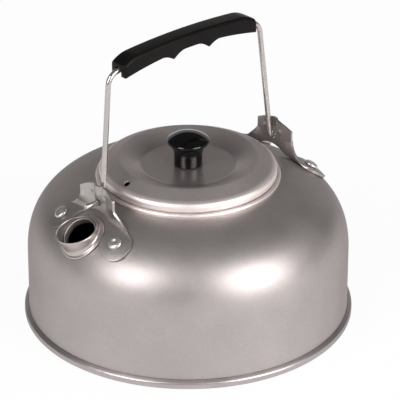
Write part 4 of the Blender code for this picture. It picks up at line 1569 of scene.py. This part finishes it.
    def build(self) -> None:
        """Model and dress the brackets and the rivets."""
        pattern = self.ear()
        for node, azimuth in (("front_bracket", math.pi), ("rear_bracket", 0.0)):
            ear = Bench.copy(pattern, node.replace("_bracket", "_ear"), Matrix.Rotation(azimuth, 4, "Z"))
            self.hand_over(ear, EAR_STEEL, Carrier.KETTLE, node)
        bpy.data.objects.remove(pattern, do_unlink=True)
        pattern = Bench.turn("rivet_pattern", self.rivet_section(), self.rivet_steps)
        Bench.shade(pattern, self.rivet_smooth_angle)
        for node, azimuth in self.rivet_places().items():
            place = SHOULDER.seat(self.rivet_distance, azimuth)
            rivet = Bench.copy(pattern, node.replace("_rivet_", "_stud_"), place)
            self.hand_over(rivet, RIVET_ALLOY, Carrier.KETTLE, node)
        bpy.data.objects.remove(pattern, do_unlink=True)


@dataclass
class Lid(SubAssembly):
    """The stepped lid, its knob and the screw that holds the knob."""

    steps: int = 160
    knob_steps: int = 96
    gap: float = GAP
    seat: float = 0.07128743931895836
    sheet: float = 0.0008
    skirt_radius: float = 0.04135
    floor_radius: float = 0.0220
    floor_rise: float = 0.0039
    floor_round: float = 0.0030
    crest_radius: float = 0.0322
    crest_rise: float = 0.0080
    crest_round: float = 0.0020
    edge_rise: float = 0.0035
    edge_round: float = 0.0024
    ledge_round: float = 0.0004
    plug_radius: float = 0.0403
    plug_depth: float = 0.0058
    screw_hole: float = 0.0018
    vent_distance: float = 0.0365
    vent_radius: float = 0.0014
    vent_lip: float = 0.00022
    knob_height: float = 0.0158
    knob_radius: float = 0.0099
    dome_round: float = 0.0155
    brim_round: float = 0.0011
    brim_turn: float = 50.0
    stem_radius: float = 0.0066
    undercut: float = 0.0070
    undercut_handle: float = 0.0022
    insert_radius: float = 0.0026
    insert_length: float = 0.0070
    step_steps: int = 12
    step_spacing: float = 0.0006
    ledge_steps: int = 5
    vent_steps: int = 40
    vent_depth: float = 0.0320
    vent_tolerance: float = 0.0001
    vent_sharp_angle: float = math.radians(45.0)
    lip_segments: int = 3
    dome_steps: int = 14
    brim_steps: int = 10
    undercut_steps: int = 12
    stem_foot_steps: int = 3
    smooth_angle: float = math.radians(38.0)

    def section(self) -> list[Point]:
        """Closed section of the lid: from the screw hole over the crest, down the plug and back.

        Returns:
            The section.
        """
        top = rounded(
            [
                (self.screw_hole, self.floor_rise, 0.0),
                (self.floor_radius, self.floor_rise, self.floor_round),
                (self.crest_radius, self.crest_rise, self.crest_round),
                (self.skirt_radius, self.edge_rise, self.edge_round),
                (self.skirt_radius, 2.0 * self.ledge_round, 0.0),
            ],
            self.step_steps,
        )
        ledge = rounded(
            [
                (self.skirt_radius, 2.0 * self.ledge_round, 0.0),
                (self.skirt_radius, 0.0, self.ledge_round),
                (self.plug_radius, 0.0, 0.0),
                (self.plug_radius, -self.plug_depth, 0.0),
            ],
            self.ledge_steps,
        )[1:]
        under = beneath(top, self.sheet)[:-1]
        top = filled(top, self.step_spacing)
        plug_inside = self.plug_radius - self.sheet
        joggle = [
            (plug_inside, -self.plug_depth),
            (plug_inside, self.ledge_round),
            (self.skirt_radius - self.sheet, self.sheet + 2.0 * self.ledge_round),
        ]
        line = top + ledge + joggle + filled(under, self.sheet)[::-1]
        return [(radius, self.seat + rise) for radius, rise in line + line[:1]]

    def knob_section(self) -> list[Point]:
        """Section of the knob: dome, brim, undercut stem and the blind hole for its insert.

        Returns:
            The section.
        """
        base = self.floor_rise + self.gap
        top = base + self.knob_height
        brim = self.knob_radius - self.brim_round
        meeting = math.degrees(math.acos(brim / (self.dome_round - self.brim_round)))
        centre = top - self.dome_round
        dome = arc(0.0, centre, self.dome_round, 90.0, meeting, self.dome_steps)
        dome[0] = (0.0, dome[0][1])
        brim_height = centre + (self.dome_round - self.brim_round) * math.sin(math.radians(meeting))
        turn = arc(brim, brim_height, self.brim_round, meeting, -self.brim_turn, self.brim_steps)[1:]
        start = Vector(turn[-1])
        lean = math.radians(self.brim_turn)
        ahead = Vector((-math.sin(lean), -math.cos(lean)))
        end = Vector((self.stem_radius, brim_height - self.undercut))
        curve = (start, start + ahead * self.undercut_handle, end + Vector((0.0, self.undercut_handle)), end)
        undercut = swept(curve, self.undercut_steps)[1:]
        hole = self.insert_radius + self.gap
        roof = base + self.insert_length + 2.0 * self.gap
        foot = arc(self.stem_radius - self.gap, base + self.gap, self.gap, 0.0, -90.0, self.stem_foot_steps)
        line = [*dome, *turn, *undercut, *foot, (hole, base), (hole, roof), (0.0, roof)]
        return [(radius, self.seat + rise) for radius, rise in line]

    def ease_vent(self, cover: bpy.types.Object) -> None:
        """Round the vent's upper edge, where the punch went in.

        Args:
            cover: The lid.
        """
        Bench.take(cover)
        bpy.ops.object.mode_set(mode="EDIT")
        bpy.ops.mesh.select_mode(type="EDGE")
        shape = bmesh.from_edit_mesh(cover.data)
        for edge in shape.edges:
            places = [vertex.co for vertex in edge.verts]
            distances = [math.hypot(place.x + self.vent_distance, place.y) for place in places]
            strays = [abs(distance - self.vent_radius) for distance in distances]
            high = all(place.z > self.seat + self.edge_rise for place in places)
            sharp = len(edge.link_faces) == 2 and edge.calc_face_angle() > self.vent_sharp_angle
            edge.select_set(high and sharp and max(strays) < self.vent_tolerance)
        shape.select_flush_mode()
        bmesh.update_edit_mesh(cover.data)
        bpy.ops.mesh.bevel(offset=self.vent_lip, segments=self.lip_segments, affect="EDGES")
        bpy.ops.object.mode_set(mode="OBJECT")

    def build(self) -> None:
        """Model and dress the lid and its knob, and dress the screw."""
        cover = Bench.turn("lid_cover", self.section(), self.steps)
        vent_place = Matrix.Translation((-self.vent_distance, 0.0, self.seat + self.crest_rise))
        Bench.cut(cover, Bench.rod("vent", self.vent_radius, self.vent_depth, vent_place, self.vent_steps))
        self.ease_vent(cover)
        Bench.shade(cover, self.smooth_angle)
        self.hand_over(cover, LID_ALUMINIUM, Carrier.LID, "lid_shell")
        knob = Bench.turn("lid_knob", self.knob_section(), self.knob_steps)
        Bench.shade(knob, self.smooth_angle)
        self.hand_over(knob, KNOB_BLACK, Carrier.LID, "knob")
        self.dress_node("knob_screw", SCREW_STEEL)
        self.dress_node("knob_washer", SCREW_STEEL)
        self.dress_node("knob_insert", INSERT_BRASS)


@dataclass
class Bail(SubAssembly):
    """The wire bail and its plastic grip, which lean together about the pivot."""

    pivot: float = PIVOT_HEIGHT
    lean: float = math.radians(2.0)
    gap: float = GAP
    wire_radius: float = 0.00125
    tail: float = 0.0072
    bracket_reach: float = 0.0533
    elbow: float = 0.0508
    elbow_round: float = 0.0022
    half_width: float = 0.0447
    corner_round: float = 0.0065
    top_rise: float = 0.0653
    crown: float = 0.0044
    half_length: float = 0.0390
    roof_rise: float = 0.0034
    top_crown: float = 0.0021
    end_drop: float = 0.0023
    end_length: float = 0.0080
    grip_half_width: float = 0.0050
    grip_edge: float = 0.0018
    toe: float = 0.0006
    side_drop: float = 0.0030
    bottom_crown: float = 0.0044
    channel_clearance: float = 0.0006
    ridge_offset: float = 0.0105
    ridge_half_width: float = 0.0066
    ridge_depth: float = 0.0029
    ridge_sharpness: float = 1.7
    stations: int = 96
    arch_steps: int = 30
    bend_steps: int = 10
    wire_resolution: int = 6
    end_round: float = 0.00022
    end_segments: int = 3
    end_sharp_angle: float = math.radians(60.0)
    toe_steps: int = 4
    edge_steps: int = 8
    ease_angles: tuple[float, ...] = (0.0, 30.0, 60.0)
    wire_smooth_angle: float = math.radians(45.0)
    grip_smooth_angle: float = math.radians(40.0)

    def stand(self) -> Matrix:
        """Where the bail stands: on its pivot, leaning towards +Y."""
        return Matrix.Translation((0.0, 0.0, self.pivot)) @ Matrix.Rotation(-self.lean, 4, "X")

    def wire_height(self, x: float) -> float:
        """Centre of the wire inside the grip, above the pivot."""
        return self.top_rise - self.crown * (x / self.half_length) ** 2

    def route(self) -> list[Point]:
        """Centre line of the wire, tail to tail: distance along X and height above the pivot.

        Returns:
            The line's points.
        """
        run = self.half_length - 2.0 * self.wire_radius
        slope = 2.0 * self.crown * run / self.half_length**2
        corner = self.wire_height(run) - slope * (self.half_width - run)
        arch = [-run + 2.0 * run * step / self.arch_steps for step in range(self.arch_steps + 1)]
        end = self.bracket_reach + self.tail
        leg = [
            (self.half_width, corner, self.corner_round),
            (self.elbow, 0.0, self.elbow_round),
            (end, 0.0, 0.0),
        ]
        corners = [(-x, height, bend) for x, height, bend in reversed(leg)]
        corners += [(x, self.wire_height(x), 0.0) for x in arch]
        return rounded(corners + leg, self.bend_steps)

    def wire(self) -> bpy.types.Object:
        """The bent wire, with its cut ends eased.

        Returns:
            The wire.
        """
        route = self.route()
        bpy.ops.object.select_all(action="DESELECT")
        bpy.ops.curve.primitive_bezier_curve_add(location=(0.0, 0.0, 0.0))
        wire = Bench.name(bpy.context.active_object, "bail_loop")
        wire.data.splines.clear()
        wire.data.dimensions = "3D"
        wire.data.bevel_depth = self.wire_radius
        wire.data.bevel_resolution = self.wire_resolution
        wire.data.use_fill_caps = True
        wire.data.twist_mode = "MINIMUM"
        spline = wire.data.splines.new("POLY")
        spline.points.add(len(route) - 1)
        for point, (x, height) in zip(spline.points, route):
            point.co = (x, 0.0, height, 1.0)
        bpy.ops.object.convert(target="MESH")
        wire = bpy.context.active_object
        Bench.take(wire)
        bpy.ops.object.mode_set(mode="EDIT")
        Bench.close(wire)
        Bench.bevel(wire, self.end_round, self.end_segments, self.end_sharp_angle)
        return wire

    def grip_top(self, x: float) -> float:
        """Top of the grip above the pivot.

        Args:
            x: Place along the grip.

        Returns:
            The height.
        """
        end = max(0.0, abs(x) - self.half_length + self.end_length) / self.end_length
        fall = self.top_crown * (x / self.half_length) ** 2 + self.end_drop * end**2
        return self.top_rise + self.roof_rise - fall

    def grip_bottom(self, x: float) -> float:
        """Lower edge of the grip's sides, with a ridge between the finger hollows.

        Args:
            x: Place along the grip.

        Returns:
            The height.
        """
        reach = abs(abs(x) - self.ridge_offset) / self.ridge_half_width
        ridge = max(0.0, 1.0 - reach) ** self.ridge_sharpness
        fall = self.bottom_crown * (x / self.half_length) ** 2 + self.ridge_depth * ridge
        return self.top_rise - self.side_drop - fall

    def grip_section(self, x: float, inset: float) -> list[Vector]:
        """Outline of the grip's channel section.

        Args:
            x: Its place along the grip.
            inset: How far it is drawn in, at the ends.

        Returns:
            The outline's points.
        """
        half = self.grip_half_width - inset
        top = self.grip_top(x) - inset
        bottom = self.grip_bottom(x) + inset
        channel = self.wire_radius + self.channel_clearance
        ceiling = self.wire_height(x) + self.wire_radius + self.gap
        foot = arc(half - self.toe, bottom + self.toe, self.toe, -90.0, 0.0, self.toe_steps)
        crown = arc(half - self.grip_edge, top - self.grip_edge, self.grip_edge, 0.0, 90.0, self.edge_steps)
        right = [(channel, ceiling - self.toe), (channel, bottom), *foot, *crown]
        left = [(-y, height) for y, height in reversed(right)]
        outline = [(channel - self.toe, ceiling), *right, *left, (self.toe - channel, ceiling)]
        return [Vector((x, y, height)) for y, height in outline]

    def grip(self) -> bpy.types.Object:
        """The moulded grip, extruded from section to section.

        Returns:
            The grip.
        """
        run = self.half_length - self.toe
        places = [(run * (2.0 * step / self.stations - 1.0), 0.0) for step in range(self.stations + 1)]
        angles = [math.radians(angle) for angle in self.ease_angles]
        start = [(-run - self.toe * math.cos(angle), self.toe * (1.0 - math.sin(angle))) for angle in angles]
        end = [(-x, inset) for x, inset in reversed(start)]
        return Bench.loft("bail_grip", [self.grip_section(x, inset) for x, inset in [*start, *places, *end]])

    def build(self) -> None:
        """Model, stand up and dress the wire and the grip."""
        wire = self.wire()
        wire.data.transform(self.stand())
        Bench.shade(wire, self.wire_smooth_angle)
        self.hand_over(wire, WIRE_STEEL, Carrier.BAIL, "bail_wire")
        grip = self.grip()
        grip.data.transform(self.stand())
        Bench.shade(grip, self.grip_smooth_angle)
        self.hand_over(grip, GRIP_BLACK, Carrier.BAIL, "grip")


# The studio


@dataclass(frozen=True)
class Softbox:
    """An area lamp that faces the kettle, placed by its angles from the camera's azimuth."""

    name: str
    turn: float
    elevation: float
    half_width: float
    half_height: float
    brightness: float
    distance: float = 1.6
    mirrored: bool = True
    aim_height: float = 0.05

    def hang(self, azimuth: float) -> None:
        """Put the lamp in its place.

        Args:
            azimuth: The camera's azimuth, from which the lamp's own turn is counted.
        """
        data = bpy.data.lights.new(self.name, "AREA")
        data.shape = "RECTANGLE"
        data.size = 2.0 * self.distance * math.tan(math.radians(self.half_width))
        data.size_y = 2.0 * self.distance * math.tan(math.radians(self.half_height))
        data.energy = self.brightness * math.pi * data.size * data.size_y
        lamp = bpy.data.objects.new(self.name, data)
        bpy.context.scene.collection.objects.link(lamp)
        away = heading(azimuth + self.turn, self.elevation)
        lamp.location = Vector((0.0, 0.0, self.aim_height)) + away * self.distance
        lamp.rotation_euler = (-away).to_track_quat("-Z", "Y").to_euler()
        lamp.visible_camera = False
        lamp.visible_glossy = self.mirrored
        LOG.info("lamp %s hung", self.name)


SOFTBOXES = (
    Softbox("left softbox", turn=-43.0, elevation=32.0, half_width=12.5, half_height=18.0, brightness=7.0),
    Softbox("right softbox", turn=49.0, elevation=25.0, half_width=18.0, half_height=20.0, brightness=6.6),
    Softbox("rear card", turn=180.0, elevation=14.0, half_width=40.0, half_height=11.0, brightness=0.5),
    Softbox(
        "overhead fill", turn=180.0, elevation=80.0, half_width=25.0, half_height=25.0, brightness=1.0,
        distance=2.2, mirrored=False,
    ),
)


@dataclass
class Studio:
    """Floor, lamps, world and camera."""

    azimuth: float = -40.35
    elevation: float = 28.5
    distance: float = 1.335
    aim_height: float = 0.040
    sensor: float = 36.0
    lens: float = 256.32
    shift_x: float = 0.0295
    shift_y: float = 0.076
    nearest: float = 0.05
    floor_size: float = 12.0
    floor_drop: float = 0.0002
    floor_grey: float = 0.86
    floor_glow: float = 0.94
    world_grey: float = 0.085

    def lay_floor(self) -> None:
        """The plain pale floor, which keeps the kettle's shadow."""
        bpy.ops.object.select_all(action="DESELECT")
        bpy.ops.mesh.primitive_plane_add(size=self.floor_size, location=(0.0, 0.0, -self.floor_drop))
        floor = Bench.name(bpy.context.active_object, "floor")
        bpy.ops.object.transform_apply(location=True, rotation=True, scale=True)
        material = bpy.data.materials.new("pale floor")
        material.use_nodes = True
        row = NodeRow(material.node_tree)
        material.node_tree.nodes.remove(material.node_tree.nodes["Principled BSDF"])
        grey = (self.floor_grey, self.floor_grey, self.floor_grey, 1.0)
        matt = row.add("ShaderNodeBsdfDiffuse", None, {"Color": grey})
        white = row.add("ShaderNodeEmission", None, {"Color": (1.0, 1.0, 1.0, 1.0), "Strength": 1.0})
        rays = row.add("ShaderNodeLightPath").outputs
        mirrored = row.math("MAXIMUM", rays["Is Glossy Ray"], rays["Is Transmission Ray"])
        glow = row.math("MULTIPLY", row.math("MAXIMUM", rays["Is Camera Ray"], mirrored), self.floor_glow)
        mixed = row.add("ShaderNodeMixShader", None, {0: glow, 1: matt.outputs[0], 2: white.outputs[0]})
        row.feed(material.node_tree.nodes["Material Output"], {"Surface": mixed.outputs[0]})
        floor.data.materials.append(material)

    def light(self) -> None:
        """Hang the lamps and set the world."""
        for softbox in SOFTBOXES:
            softbox.hang(self.azimuth)
        world = bpy.data.worlds.new("studio")
        world.use_nodes = True
        grey = (self.world_grey, self.world_grey, self.world_grey, 1.0)
        world.node_tree.nodes["Background"].inputs["Color"].default_value = grey
        bpy.context.scene.world = world

    def place_camera(self) -> None:
        """The camera at the photograph's angle."""
        out = heading(self.azimuth, self.elevation)
        data = bpy.data.cameras.new("camera")
        data.sensor_width = self.sensor
        data.lens = self.lens
        data.shift_x = self.shift_x
        data.shift_y = self.shift_y
        data.clip_start = self.nearest
        camera = bpy.data.objects.new("camera", data)
        bpy.context.scene.collection.objects.link(camera)
        camera.location = Vector((0.0, 0.0, self.aim_height)) + out * self.distance
        camera.rotation_euler = (-out).to_track_quat("-Z", "Y").to_euler()
        bpy.context.scene.camera = camera

    def build(self) -> None:
        """Set up the studio."""
        self.lay_floor()
        self.light()
        self.place_camera()
        bpy.context.scene.view_settings.view_transform = "Standard"


def main() -> None:
    """Build the kettle piece by piece, then the studio round it."""
    logging.basicConfig(level=logging.INFO, format="%(name)s: %(message)s")
    spout = Spout()
    brackets = Brackets()
    Body().build(spout, brackets)
    spout.build()
    brackets.build()
    Lid().build()
    Bail().build()
    Studio().build()


if __name__ == "__main__":
    main()
